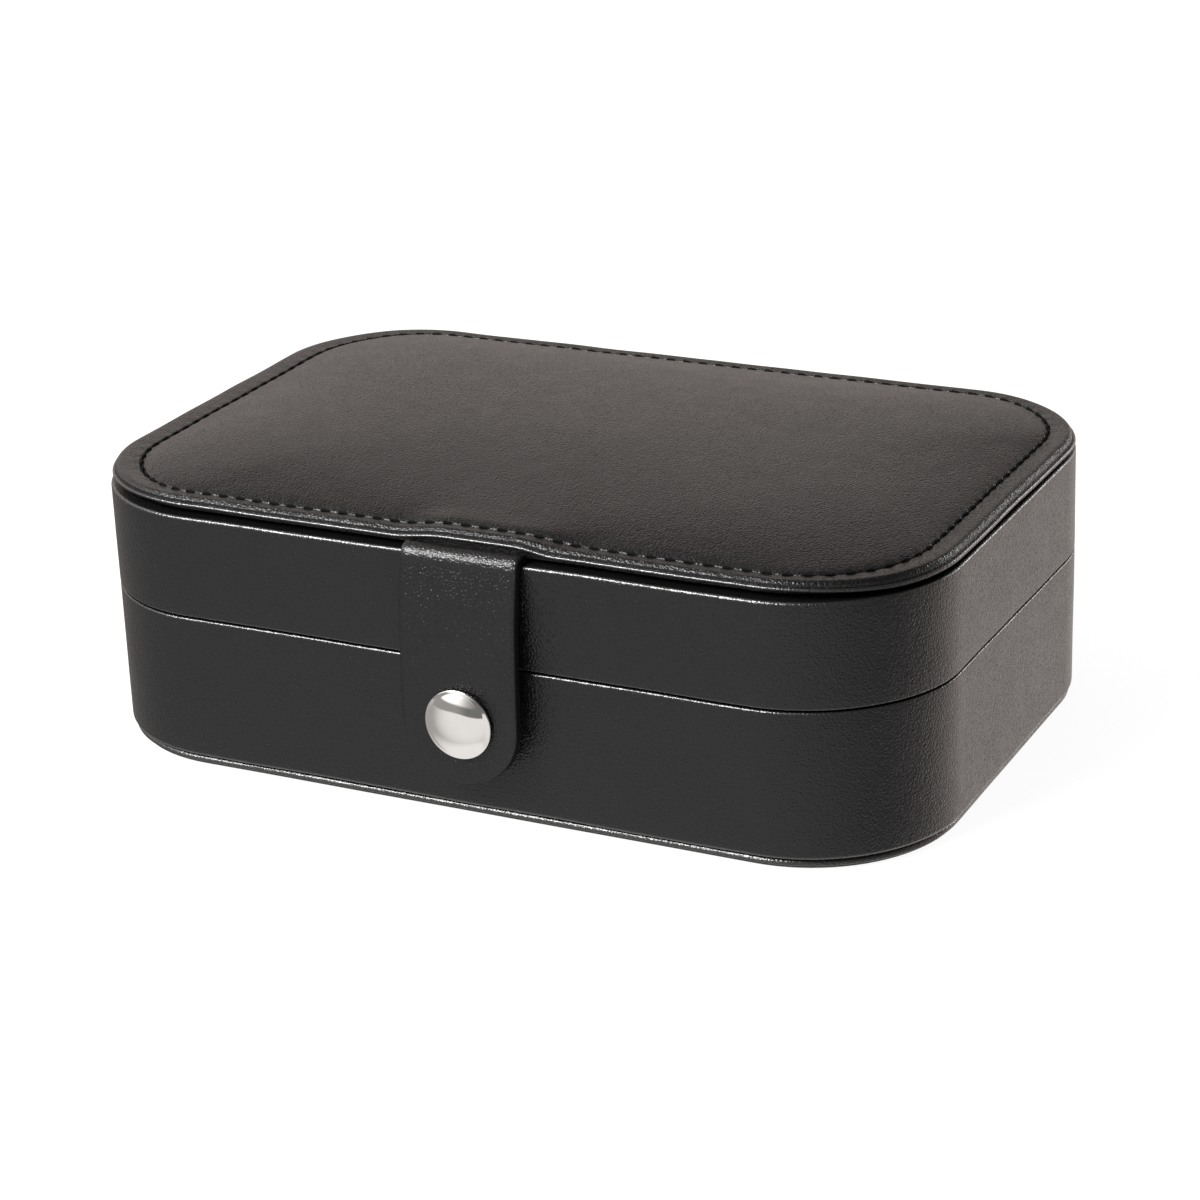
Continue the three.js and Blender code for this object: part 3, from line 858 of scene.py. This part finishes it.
def settled(z, normal):
    """Behind the strap's front side the panel lies closer to the wall, so its rim reaches lower."""
    share = max(0.0, 1 - (z - panel_low.z) / (CROWN_FOOT - panel_low.z))
    return z - 0.0005 * ramp(normal.y, -0.98, -0.5) * share


def edge_wave(point):
    """The slow wave in height of the cover's edge and seam."""
    return ripple(point, 0.013, 0.00012, 6)


def seam_pucker():
    """How the stitches pull at each of the outline's points: 1 between two of them, -1 at their middles."""
    points = [point - normal * SEAM_INSET for point, normal in OUTLINES[1]]
    travelled = [0.0]
    for here, following in zip(points, points[1:] + points[:1]):
        travelled.append(travelled[-1] + (following - here).length)
    stitches = len(seam_stations(SEAM_INSET, STITCH_PITCH))
    return [math.cos(2 * math.pi * stitches * way / travelled[-1]) for way in travelled[:-1]]


def cover_vertex(point, normal, inset, z, pucker):
    """A vertex of the cover's skin. With no height given it lies on the crown."""
    place = point - normal * inset
    here = Vector((place.x, place.y, z or 0.0))
    crown = z is None
    if crown:
        here.z = crown_height(here)
        here.z += edge_wave(here) * (1 - ramp(inset, CROWN_START, PATCH_INSET))
    elif inset < 0.004 or z > panel_low.z:
        # The turned-in edge stays down on the strap, and the bead above it is lifted in full.
        lift = min(1.0, (z - panel_low.z) / 0.0004)
        here.z = settled(z, normal) + panel_rise(here) * lift + edge_wave(here)
    if crown or z > CROWN_FOOT - 0.001:
        here.z += 0.00007 * math.exp(-((inset - SEAM_INSET) / 0.0011) ** 2) * pucker
    pull = end_pull(inset, normal) if crown or z > panel_low.z else 0.0
    return here + Vector((normal.x, normal.y, 0)) * (ripple(here, 0.011, 0.0001, 8) - pull)


def make_cover():
    """The leather cover: one skin over the crown, pulled down along the stitched seam."""
    profile = cover_profile()
    groove = len(profile) - 1 - GROOVE_STEPS // 2  # the row at the groove's bottom
    for share in spread(0, 1, 10)[1:]:
        profile.append((CROWN_START + (PATCH_INSET - CROWN_START) * share**1.3, None, 0.0))
    pucker = seam_pucker()
    vertices, polish_and_highlight = [], []
    for inset, z, polish_and_highlight_here in profile:
        for (point, normal), pulled in zip(OUTLINES[1], pucker):
            vertices.append(cover_vertex(point, normal, inset, z, pulled))
            polish_and_highlight.append(polish_and_highlight_here)
    count = len(OUTLINES[1])
    last = (len(profile) - 1) * count
    faces = skin_faces(len(profile), count, False)
    rows = patch_rows([vertices[last + i].copy() for i in range(count)])
    for row in rows[1:-1]:
        for point in row[1:-1]:
            point.z = crown_height(point)
    rows = swollen_grid(rows)
    start = len(vertices)
    for row in rows[1:-1]:
        vertices += row[1:-1]
        polish_and_highlight += [0.0] * (len(row) - 2)
    faces += patch_faces(list(range(last, last + count)), start)
    cover = make_piece("panel_leather", vertices, faces, "leather", polish_and_highlight)
    # The groove's bottom rows take the dark edge paint: painted shade in the seam's groove.
    cover.data.materials.append(LOOKS["edge"])
    for polygon in cover.data.polygons:
        if polygon.index // count in (groove - 1, groove):
            polygon.material_index = 1
    use_modifier(cover, "SOLIDIFY", thickness=COVER_SKIN, offset=-1.0)
    stands_for(cover, "lid", "panel_cover")


def make_foam():
    """The foam crown under the cover."""
    foam_low, foam_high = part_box("panel_foam")
    drop = COVER_SKIN + 0.00025
    inset = HALF_X - foam_high.x
    section = [
        (inset + PLATE_REACH, foam_low.z, 0),
        (inset, foam_low.z, 0),
        (inset, foam_low.z + 0.0006, 0),
        (inset + 0.001, foam_low.z + 0.0009, 0),
    ]
    foam = filled("panel_foam_pad", section, "foam", still, lambda point: crown_height(point) - drop)
    stands_for(foam, "lid", "panel_foam")


def make_stitches():
    """Single stitches in the groove, each a little askew, with its ends sunk in their holes."""
    vertices, faces = [], []
    rings, around = 9, 8
    for point, normal in seam_stations(SEAM_INSET, STITCH_PITCH):
        point = point - normal * end_pull(SEAM_INSET, normal)
        along = Vector((-normal.y, normal.x, 0))
        out = Vector((normal.x, normal.y, 0))
        skew = math.radians(9 + 3 * noise.noise(Vector((point.x, point.y, 0)) * 900))
        direction = along * math.cos(skew) + out * math.sin(skew)
        sideways = Vector((0, 0, 1)).cross(direction)
        middle = Vector((point.x, point.y, 0))
        level = CROWN_FOOT + panel_rise(middle) + edge_wave((point.x, point.y, CROWN_FOOT)) + THREAD * 0.35
        start = len(vertices)
        for share in spread(-1, 1, rings - 1):
            centre = middle + direction * share * STITCH_LENGTH / 2
            centre.z = level - 0.0007 * abs(share) ** 5
            radius = THREAD * (1 - 0.25 * share**4)
            for angle in full_turn(around):
                lift = Vector((0, 0, radius * math.sin(angle)))
                vertices.append(centre + sideways * radius * math.cos(angle) + lift)
        faces += [tuple(start + index for index in face) for face in skin_faces(rings, around, False)]
        faces.append(tuple(start + step for step in range(around)))
        last = start + (rings - 1) * around
        faces.append(tuple(last + step for step in range(around)))
    stands_for(make_piece("seam_stitches", vertices, faces, "thread"), "lid", "seam_thread")


# ---------------------------------------------------------------- strap and snap

LINING_SKIN = 0.0005
STRAP_SKIN = 0.0008
STRAP_GAP = 0.0001  # between lining and outer leather
STRAP_SPACING = 0.001  # between two stations along the strap
HALF_WIDTH = (strap_high.x - strap_low.x) / 2


def off_wall(y):
    """How far in front of the front wall a Y place lies."""
    return -HALF_Y - y


# How far the strap's inner face stands off the wall, at its top and at the snap.
LEAN_TOP = off_wall(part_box("strap_lining")[1].y)
LEAN_SNAP = off_wall(strap_low.y) - LINING_SKIN - STRAP_GAP - STRAP_SKIN
BEND = Vector((-HALF_Y + 0.0006, lid_high.z - 0.00085))  # centre of the strap's top bend, as (y, z)


def strap_lean(z):
    """How far the strap's inner face stands off the wall at a height."""
    share = max(0.0, min(1.0, (strap_high.z - z) / (strap_high.z - SNAP.z)))
    return LEAN_SNAP - (LEAN_SNAP - LEAN_TOP) * (1 - share) ** 2


def strap_stations(off, root):
    """Stations along a layer of the strap: (inner face point (y, z), outward normal, half width).
    `off` is the layer's distance from the strap's inner face, and `root` how far back it reaches."""
    foot = root_low.z + 0.00002
    radius = BEND.x + HALF_Y + strap_lean(BEND.y) + off
    stations = []
    steps = max(2, math.ceil((root - BEND.x) / STRAP_SPACING))
    for step in range(steps):
        share = step / steps
        y = root + (BEND.x - root) * share
        rise = max(0.0, share * steps - (steps - 3)) / 3
        top = BEND.y + radius
        z = foot + (top - foot) * (3 * rise**2 - 2 * rise**3)
        stations.append((Vector((y, z)), Vector((0, 1)), HALF_WIDTH))
    for angle in spread(0, math.pi / 2, 12):
        normal = Vector((-math.sin(angle), math.cos(angle)))
        stations.append((BEND + normal * radius, normal, HALF_WIDTH))
    straight = math.ceil((BEND.y - SNAP.z) / STRAP_SPACING)
    for z in spread(BEND.y, SNAP.z, straight)[1:]:
        stations.append((Vector((-HALF_Y - strap_lean(z) - off, z)), None, HALF_WIDTH))
    tip_end = math.pi / 2 * 0.988  # the round tip stops just before its width is nothing
    for angle in spread(0, tip_end, 20)[1:]:
        z = SNAP.z - HALF_WIDTH * math.sin(angle)
        stations.append((Vector((-HALF_Y - LEAN_SNAP - off, z)), None, HALF_WIDTH * math.cos(angle)))
    found = []
    for i, (point, normal, half) in enumerate(stations):
        if normal is None:
            before, after = stations[i - 1][0], stations[min(i + 1, len(stations) - 1)][0]
            along = (after - before).normalized()
            normal = Vector((along.y, -along.x))
        found.append((point, normal, half))
    return found


def strap_layer(name, off, thickness, root, thin_root):
    """One leather layer of the strap, with rounded edges, pressed in round the snap's cap."""
    across = 24
    edge = 0.00022
    press, press_radius, press_width = 0.00022, 0.0064, 0.0016
    sections, polish_and_highlight = [], []
    for point, normal, half in strap_stations(off, root):
        thick = thin_root if point.x > -HALF_Y + 0.006 else thickness
        centre = Vector((SNAP.x, point.x, point.y))
        out = Vector((0, normal.x, normal.y))
        inner_half = max(half - edge, half * 0.5)
        section = [(share, 0.0, inner_half) for share in spread(-1, 1, across)]
        section += [(1.0, 0.3, half), (1.0, 0.7, half)]
        section += [(share, 1.0, inner_half) for share in spread(1, -1, across)]
        section += [(-1.0, 0.7, half), (-1.0, 0.3, half)]
        ring = []
        for share, depth, width in section:
            place = centre + Vector((share * width, 0, 0)) + out * depth * thick
            distance = math.hypot(place.x - SNAP.x, place.z - SNAP.z)
            if depth == 1.0 and place.z < BEND.y:
                place -= out * press * math.exp(-(((distance - press_radius) / press_width) ** 2))
            place += out * ripple(place, 0.012, 0.00009, 11)
            place.x += ripple((0, place.y, place.z), 0.01, 0.00012, 12)
            ring.append(place)
            # The outer face at the top bend is marked for polish and a painted highlight.
            polish_and_highlight.append(0.45 * ramp(place.z, BEND.y - 0.0008, BEND.y + 0.0008) if depth == 1.0 else 0.0)
        sections.append(ring)
    layer = lofted(name, sections, "leather", polish_and_highlight, 50)
    layer.data.materials.append(LOOKS["edge"])
    around = len(sections[0])
    for polygon in layer.data.polygons:
        column = polygon.index % around
        beside = across <= column <= across + 2 or column >= around - 3
        if beside or polygon.index >= around * (len(sections) - 1):
            polygon.material_index = 1
    return layer


def make_strap():
    """The strap's two layers, bent over the lid's edge."""
    outer = strap_layer("strap_leather", LINING_SKIN + STRAP_GAP, STRAP_SKIN, root_high.y, 0.00055)
    lining = strap_layer("strap_backing", 0.0, LINING_SKIN, BEND.x + 0.0016, LINING_SKIN)
    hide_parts("strap_outer", "strap_root")
    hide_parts("strap_lining")
    for layer in (outer, lining):
        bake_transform(layer)


def arc_profile(centre, radius, start, end, steps=8):
    """Points of an arc in a turned profile; angles in degrees, 0 away from the axis."""
    angles = spread(math.radians(start), math.radians(end), steps)
    return [(centre[0] + radius * math.cos(a), centre[1] + radius * math.sin(a)) for a in angles]


def radius_of(node):
    """The radius of a round CAD piece on the snap's axis, and how far off the wall it starts and ends."""
    low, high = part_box(node)
    return (high.x - low.x) / 2, off_wall(high.y), off_wall(low.y)


POST = 0.0012  # radius of the posts of cap and stud


def make_cap():
    """The snap's cap: a post through the strap, a rolled rim and a dome."""
    cap_radius, back, top = radius_of("snap_cap")
    bed = off_wall(strap_low.y) + 0.00002
    rim = 0.0003
    dome_radius, dome_low = cap_radius - rim, bed + rim + 0.0002
    profile = [(0, back), (POST, back), (POST, bed), (cap_radius - 0.0012, bed)]
    profile += arc_profile((cap_radius - rim, bed + rim), rim, -90, 62, 10)
    for share in spread(1, 0, 24)[1:]:
        profile.append((dome_radius * share, dome_low + (top - dome_low) * (1 - share**2.5)))
    stands_for(turned("snap_cap_dome", profile, "nickel"), "strap", "snap_cap")


def make_socket():
    """The socket behind the strap, with rolled lips inside and outside."""
    radius, mouth, front = radius_of("snap_socket")
    lip, bore = 0.0004, 0.0022
    socket = [(0, mouth + 0.0007), (bore, mouth + 0.0007), (bore, mouth + lip)]
    socket += arc_profile((bore + lip, mouth + lip), lip, 180, 270, 6)
    socket += [(radius - 0.0016, mouth + 0.0001), (radius - 0.001, mouth + 0.00035)]
    socket += arc_profile((radius - lip, mouth + 0.0005 + lip * 0.5), lip, -80, 0, 6)
    socket += [(radius, front), (0, front)]
    stands_for(turned("snap_socket_ring", socket, "nickel"), "strap", "snap_socket")


def make_stud():
    """The stud on the base's wall: a flange and a waisted head."""
    flange, root, out = radius_of("snap_stud")
    stud = [(0, root), (POST, root), (POST, 0.0001), (flange - 0.0002, 0.0001), (flange, 0.0002)]
    stud += [(flange - 0.0003, 0.00034), (0.0026, 0.0004), (0.0019, 0.00052), (0.0018, 0.00062)]
    stud += arc_profile((0.002, out - 0.00035), 0.00034, -60, 90, 8) + [(0.0008, out), (0, out)]
    stands_for(turned("snap_stud_head", stud, "nickel"), "base", "snap_stud")


def make_eyelet():
    """The disc that holds the stud from inside the wall."""
    radius, far, near = radius_of("snap_eyelet")
    eyelet = [(0, far), (radius - 0.0002, far), (radius, far + 0.0001), (radius, near - 0.0001)]
    eyelet += [(radius - 0.0001, near), (0.0016, near), (0.0014, near - 0.00015), (0, near - 0.00015)]
    stands_for(turned("snap_eyelet_disc", eyelet, "nickel"), "base", "snap_eyelet")


# ---------------------------------------------------------------- hinge

def hinge_strip(name, nodes, slot, fold):
    """A strip across the lid's hinge, from the base's half to the lid's half. `fold` pushes its
    middle towards the inside."""
    low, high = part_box(nodes[0])
    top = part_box(nodes[1])[1].z
    heights = []
    z = low.z
    while z < top:
        heights.append(z)
        z += 0.0003 if abs(z - HINGE.z) < 0.003 else 0.0012  # finer where the strip bends
    heights.append(top)
    across, edge = 60, 0.00015
    near, far = low.y * 0.7 + high.y * 0.3, low.y * 0.3 + high.y * 0.7
    outline = [(x, low.y) for x in spread(low.x, high.x, across)]
    outline += [(high.x + edge, near), (high.x + edge, far)]
    outline += [(x, high.y) for x in spread(high.x, low.x, across)]
    outline += [(low.x - edge, far), (low.x - edge, near)]
    sections = []
    for z in heights:
        bulge = fold * math.exp(-(((z - HINGE.z) / 0.0028) ** 2))
        ring = []
        for x, y in outline:
            ring.append(Vector((x, y - bulge + ripple((x, 0, z), 0.012, 0.00004, 13), z)))
        sections.append(ring)
    strip = lofted(name, sections, slot, None, 50)
    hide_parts(*nodes)
    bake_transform(strip)


def make_hinge():
    """The leather spine outside, and the velvet gusset inside."""
    hinge_strip("hinge_leather", ("hinge_spine_base", "hinge_spine_lid"), "leather", 0.0)
    hinge_strip("hinge_gusset", ("hinge_gusset_base", "hinge_gusset_lid"), "velvet", 0.0012)


# ---------------------------------------------------------------- base furniture

def arch(half, low, high, steps=10):
    """A section with a flat foot and a domed top, as (across, up) points."""
    foot = 0.0008
    spring = high - half  # the height at which the dome starts
    side = spread(low + foot, spring, 4)[:-1]
    points = [(-half + foot, low), (half - foot, low)]
    points += [(half, z) for z in side]
    points += [(half * math.cos(a), spring + half * math.sin(a)) for a in spread(0, math.pi, steps)]
    return points + [(-half, z) for z in reversed(side)]


def wall_reach(y, inset):
    """How far the case's inside reaches along X at a depth."""
    radius = CORNER - inset
    deep = max(0.0, abs(y) - (HALF_Y - CORNER))
    return HALF_X - CORNER + math.sqrt(max(0.0, radius**2 - deep**2))


def make_ring_rolls():
    """Padded rolls: one is inflated as cloth, and all six take its shape, their outer ends following
    the case's rounded inside."""
    boxes = [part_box(f"ring_roll_{i + 1}") for i in range(6)]
    low, high = boxes[2]
    half = (high.y - low.y) / 2
    length = high.x - low.x
    start_half = half - 0.0006  # the cloth swells out to the roll's full width
    sections = []
    for share in spread(0, 1, 44):
        end = min(share, 1 - share) * length
        shrink = 1 - 0.16 * math.exp(-((end / 0.0013) ** 2)) - 0.1 * math.exp(-((end / 0.0035) ** 2))
        middle = low.z + start_half * 1.1
        section = arch(start_half, low.z + 0.0004, high.z - 0.0006, 16)
        ring = [(a * shrink, middle + (b - middle) * shrink) for a, b in section]
        sections.append([Vector((share * length, a, b)) for a, b in ring])
    roll = lofted("ring_roll_shape", sections, "velvet")
    foot = [i for i, v in enumerate(roll.data.vertices) if v.co.z < low.z + 0.0016]
    puff(roll, foot, PRESSURE, 0.00055)
    shape = [v.co.copy() for v in roll.data.vertices]
    faces = [tuple(face.vertices) for face in roll.data.polygons]
    bpy.data.objects.remove(roll)
    inset = HALF_X + low.x
    for i, (_, roll_high) in enumerate(boxes):
        middle = (i - 2.5) * (boxes[3][0].y - boxes[2][0].y)
        vertices = []
        for point in shape:
            y = middle + point.y
            reach = -wall_reach(y, inset) + 0.0002
            share = point.x / length
            place = Vector((reach + (roll_high.x - reach) * share, y, point.z))
            place.z += ripple(place, 0.008, 0.00025, i)
            place.y += ripple(place, 0.01, 0.00012, i + 20)
            vertices.append(place)
        made = make_piece(f"ring_roll_velvet_{i + 1}", vertices, faces, "velvet", None, 60)
        stands_for(made, "base", f"ring_roll_{i + 1}")


def velvet_wall(name, node, along_x):
    """A velvet-covered divider with a rounded top edge."""
    low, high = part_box(node)
    width, length = (high - low).yx if along_x else (high - low).xy
    middle = (low + high) / 2
    sections = []
    for along in spread(-length / 2, length / 2, math.ceil(length / 0.0025)):
        ring = []
        for across, up in arch(width / 2, low.z, high.z, 8):
            across += ripple((along, across, up), 0.011, 0.0001, 15)
            lift = ripple((along, 0, up), 0.014, 0.00015, 16) if up > low.z + 0.001 else 0
            x, y = (along, across) if along_x else (-across, along)
            ring.append(Vector((middle.x + x, middle.y + y, up + lift)))
        sections.append(ring)
    stands_for(lofted(name, sections, "velvet", None, 60), "base", node)


def make_dividers():
    """The partition beside the ring rolls, and the two dividers of the open tray."""
    velvet_wall("partition_velvet", "ring_partition", False)
    velvet_wall("divider_long_velvet", "divider_long", True)
    velvet_wall("divider_cross_velvet", "divider_cross", False)


# ---------------------------------------------------------------- lid fittings

def tube(name, stations, slot, around=20):
    """A round bar through (centre, direction, radius) stations in a plane x = constant."""
    sections = []
    for centre, direction, radius in stations:
        first = Vector((1, 0, 0))
        second = direction.cross(first)
        ring = []
        for angle in full_turn(around):
            ring.append(centre + first * radius * math.cos(angle) + second * radius * math.sin(angle))
        sections.append(ring)
    return lofted(name, sections, slot)


def make_hooks():
    """Five wire hooks with a collar at the bar and a ball at the tip."""
    for number in range(1, 6):
        node = f"necklace_hook_{number}"
        low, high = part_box(node)
        wire = (high.x - low.x) / 2
        x = (low.x + high.x) / 2
        stem_y, arm_z = high.y - wire, low.z + wire
        bend = 0.0018
        down, forward = Vector((0, 0, -1)), Vector((0, -1, 0))
        stations = []
        collar = ((0, 0.0016), (0.00005, 0.0019), (0.0004, 0.0019), (0.0006, 0.0016), (0.0007, wire))
        for drop, radius in collar:
            stations.append((Vector((x, stem_y, high.z - drop)), down, radius))
        stem_z = high.z - collar[-1][0]
        for z in spread(stem_z, arm_z + bend, 5)[1:-1]:
            stations.append((Vector((x, stem_y, z)), down, wire))
        for angle in spread(0, math.pi / 2, 8):
            centre = Vector((x, stem_y - bend, arm_z + bend))
            centre += -forward * bend * math.cos(angle) + down * bend * math.sin(angle)
            stations.append((centre, down * math.cos(angle) + forward * math.sin(angle), wire))
        ball = 0.00125
        tip = low.y + ball
        for angle in spread(math.asin(wire / ball), math.pi - 0.05, 10):
            centre = Vector((x, tip + ball * math.cos(angle), arm_z))
            stations.append((centre, forward, ball * math.sin(angle)))
        stands_for(tube(f"hook_wire_{number}", stations, "nickel"), "lid", node)


def make_hook_bar():
    """The velvet-covered bar that the hooks are fixed in."""
    low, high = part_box("hook_bar")
    edge = 0.0005
    sections = []
    for x in spread(low.x, high.x, 50):
        pull = 0.0004 * math.exp(-min(x - low.x, high.x - x) / 0.0006)  # the velvet is drawn in at the ends
        corners = box_corners(low.y + pull, high.y - pull, low.z + pull, high.z, edge, 0)
        ring = []
        for y, z, _ in softened(corners, 4):
            lift = ripple((x, y, z), 0.009, 0.00012, 17) if z < high.z - 0.0002 else 0
            ring.append(Vector((x, y, z + lift)))
        sections.append(ring)
    stands_for(lofted("hook_bar_velvet", sections, "velvet", None, 60), "lid", "hook_bar")


POCKET_GATHERS = 15


def gather(x, y, low, high):
    """The pocket's face swings in and out of its plane where the elastic gathers it."""
    along, share = (x - low.x) / (high.x - low.x), (y - low.y) / (high.y - low.y)
    stray = 2 * noise.noise(Vector((x * 60, y * 30, 3)))
    swing = math.sin(2 * math.pi * POCKET_GATHERS * along + stray)
    return swing * 0.00075 * math.exp(-2.6 * share)


def make_pocket():
    """A gathered velvet pocket sewn to the ceiling on three sides, with an elastic hem."""
    low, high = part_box("lid_pocket")
    face = low.z + 0.0011
    across, deep = 200, 34
    velvet, wall, fade = 0.0005, 0.0022, 0.004
    vertices = []
    for share in spread(0, 1, deep):
        y = low.y + (high.y - low.y) * share
        sag = 0.0006 * math.sin(math.pi * share)
        for x in spread(low.x, high.x, across):
            rim = min(x - low.x, high.x - x, high.y - y)
            rise = (high.z - velvet - face) * max(0.0, 1 - rim / wall) ** 2
            wave = gather(x, y, low, high) - sag + ripple((x, y, 0), 0.01, 0.0004, 18)
            vertices.append(Vector((x, y, face + rise + wave * min(1.0, rim / fade))))
    downward = [quad[::-1] for quad in skin_faces(deep + 1, across + 1, False, False)]
    pocket = make_piece("pocket_velvet", vertices, downward, "velvet")
    use_modifier(pocket, "SOLIDIFY", thickness=velvet, offset=1.0)
    stands_for(pocket, "lid", "lid_pocket")
    hem_low, hem_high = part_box("pocket_elastic")
    sections = []
    for x in spread(hem_low.x, hem_high.x, across):
        wave = gather(x, low.y, low, high) * 0.3
        corners = box_corners(hem_low.y, hem_high.y, hem_low.z, hem_high.z, 0.0003, 0.0003)
        sections.append([Vector((x, y, z + wave)) for y, z, _ in softened(corners, 4)])
    hem = stands_for(lofted("pocket_hem", sections, "elastic"), "lid", "pocket_elastic")


# ---------------------------------------------------------------- stage, light and camera

def make_floor():
    """A pale floor that gives off its own even light, and that reflections don't see."""
    reach = 3.0
    mesh = bpy.data.meshes.new("floor")
    corners = [(-reach, -reach, 0), (reach, -reach, 0), (reach, reach, 0), (-reach, reach, 0)]
    mesh.from_pydata(corners, [], [(0, 1, 2, 3)])
    floor = add_object("floor", mesh)
    floor.location.z = -0.0001
    look = Look("floor", Roughness=0.9, Base_Color=(0.2, 0.2, 0.2, 1))
    look.give(Emission_Color=(1, 1, 1, 1), Emission_Strength=0.93)
    mesh.materials.append(look.material)
    floor.visible_glossy = False


def make_world():
    """The studio round the box: a white table that is brightest behind on the right and shaded where
    the camera stands, a warm backdrop behind, and a dim room in front and above. Seen directly
    past the floor's edge it is plain white."""
    world = bpy.data.worlds.new("studio")
    bpy.context.scene.world = world
    world.use_nodes = True
    studio = Nodes(world.node_tree)
    background = world.node_tree.nodes["Background"]
    direction = studio.node("ShaderNodeTexCoord").outputs["Generated"]
    parts = studio.node("ShaderNodeSeparateXYZ", {0: direction}).outputs

    def lobe(middle, sharpness, strength):
        dot = studio.node("ShaderNodeVectorMath", {0: direction}, operation="DOT_PRODUCT")
        dot.inputs[1].default_value = Vector(middle).normalized()
        facing = studio.math("MAXIMUM", dot.outputs["Value"], 0.0)
        return studio.math("MULTIPLY", studio.math("POWER", facing, sharpness), strength)

    near = studio.range(parts[1], -0.2, -0.9, 0.0, 0.46, "SMOOTHSTEP")
    steep = studio.range(parts[2], -0.5, -0.85, 0.0, 0.5, "SMOOTHSTEP")
    table = studio.math("ADD", 0.38, studio.math("MAXIMUM", near, steep))
    table = studio.math("ADD", table, lobe((0.42, 0.83, -0.37), 6.0, 1.02))
    behind = studio.range(parts[1], -0.1, 0.5, 0.32, 0.85, "SMOOTHSTEP")
    above = studio.range(parts[2], 0.36, 0.7, 1.0, 0.24, "SMOOTHSTEP")
    room = studio.math("MULTIPLY", behind, above)
    corner = studio.range(parts[0], -0.42, 0.05, 1.0, 0.55, "SMOOTHSTEP")
    room = studio.math("MULTIPLY", room, corner)
    sill = studio.range(parts[2], 0.26, 0.34, 0.0, 1.0)
    window = studio.math("MULTIPLY", lobe((-0.7, -0.5, 0.5), 4.0, 1.6), sill)
    room = studio.math("ADD", room, window)
    horizon = studio.range(parts[2], -0.02, 0.02, 0.0, 1.0, "SMOOTHSTEP")
    light = studio.math("MULTIPLY", room, horizon)
    below = studio.math("MULTIPLY", table, studio.math("SUBTRACT", 1.0, horizon))
    strength = studio.math("ADD", light, below)
    seen = studio.node("ShaderNodeLightPath").outputs["Is Camera Ray"]
    hidden = studio.math("SUBTRACT", 1.0, seen)
    studio.put(background, "Strength", studio.math("ADD", studio.math("MULTIPLY", strength, hidden), seen))
    warm = studio.range(parts[1], -0.2, 0.6, 0.0, 1.0, "SMOOTHSTEP")
    tint = studio.blend(warm, (1.0, 0.995, 0.99, 1), (1.0, 0.9, 0.855, 1))
    studio.put(background, "Color", studio.blend(seen, tint, (1.0, 1.0, 1.0, 1)))


def add_softbox(name, direction, distance, size, energy):
    """A rectangular light that looks at the box from a direction."""
    data = bpy.data.lights.new(name, "AREA")
    data.shape = "RECTANGLE"
    data.size, data.size_y = size
    data.energy = energy
    light = add_object(name, data)
    back = Vector(direction).normalized()
    light.location = back * distance + Vector((0, 0, case_high.z))
    light.rotation_euler = (-back).to_track_quat("-Z", "Y").to_euler()


def make_camera():
    """The camera stands at the front right and looks down on the box, turned a little about its axis."""
    azimuth, elevation, roll = (math.radians(angle) for angle in (26.9, 21.73, -2.17))
    distance = 0.5925
    middle = Vector((0, 0, (cad_high.z - cad_low.z) * 0.4381))
    shift = Vector((0.00035, -0.00384))  # right and up in the picture
    back = Vector((
        math.sin(azimuth) * math.cos(elevation),
        -math.cos(azimuth) * math.cos(elevation),
        math.sin(elevation),
    ))
    level = Vector((0, 0, 1)).cross(back).normalized()
    upright = back.cross(level)
    right = level * math.cos(roll) + upright * math.sin(roll)
    up = upright * math.cos(roll) - level * math.sin(roll)
    data = bpy.data.cameras.new("camera")
    data.sensor_width = 36
    data.lens = 97.6
    data.clip_start, data.clip_end = 0.01, 20
    camera = add_object("camera", data)
    place = middle + right * shift.x + up * shift.y + back * distance
    camera.matrix_world = Matrix.Translation(place) @ Matrix((right, up, back)).transposed().to_4x4()
    bpy.context.scene.camera = camera


make_camera()
make_floor()
make_world()
add_softbox("softbox_front_left", (-0.42, -0.62, 0.67), 0.9, (0.55, 0.3), 11.0)
add_softbox("softbox_back_right", (0.5, 0.83, 0.22), 0.9, (0.3, 0.25), 1.3)
bpy.context.scene.view_settings.view_transform = "Standard"

make_walls()
make_bottom()
make_linings()
paint_boards()
make_cover()
make_foam()
make_stitches()
make_strap()
make_cap()
make_socket()
make_stud()
make_eyelet()
make_hinge()
make_ring_rolls()
make_dividers()
make_hooks()
make_hook_bar()
make_pocket()
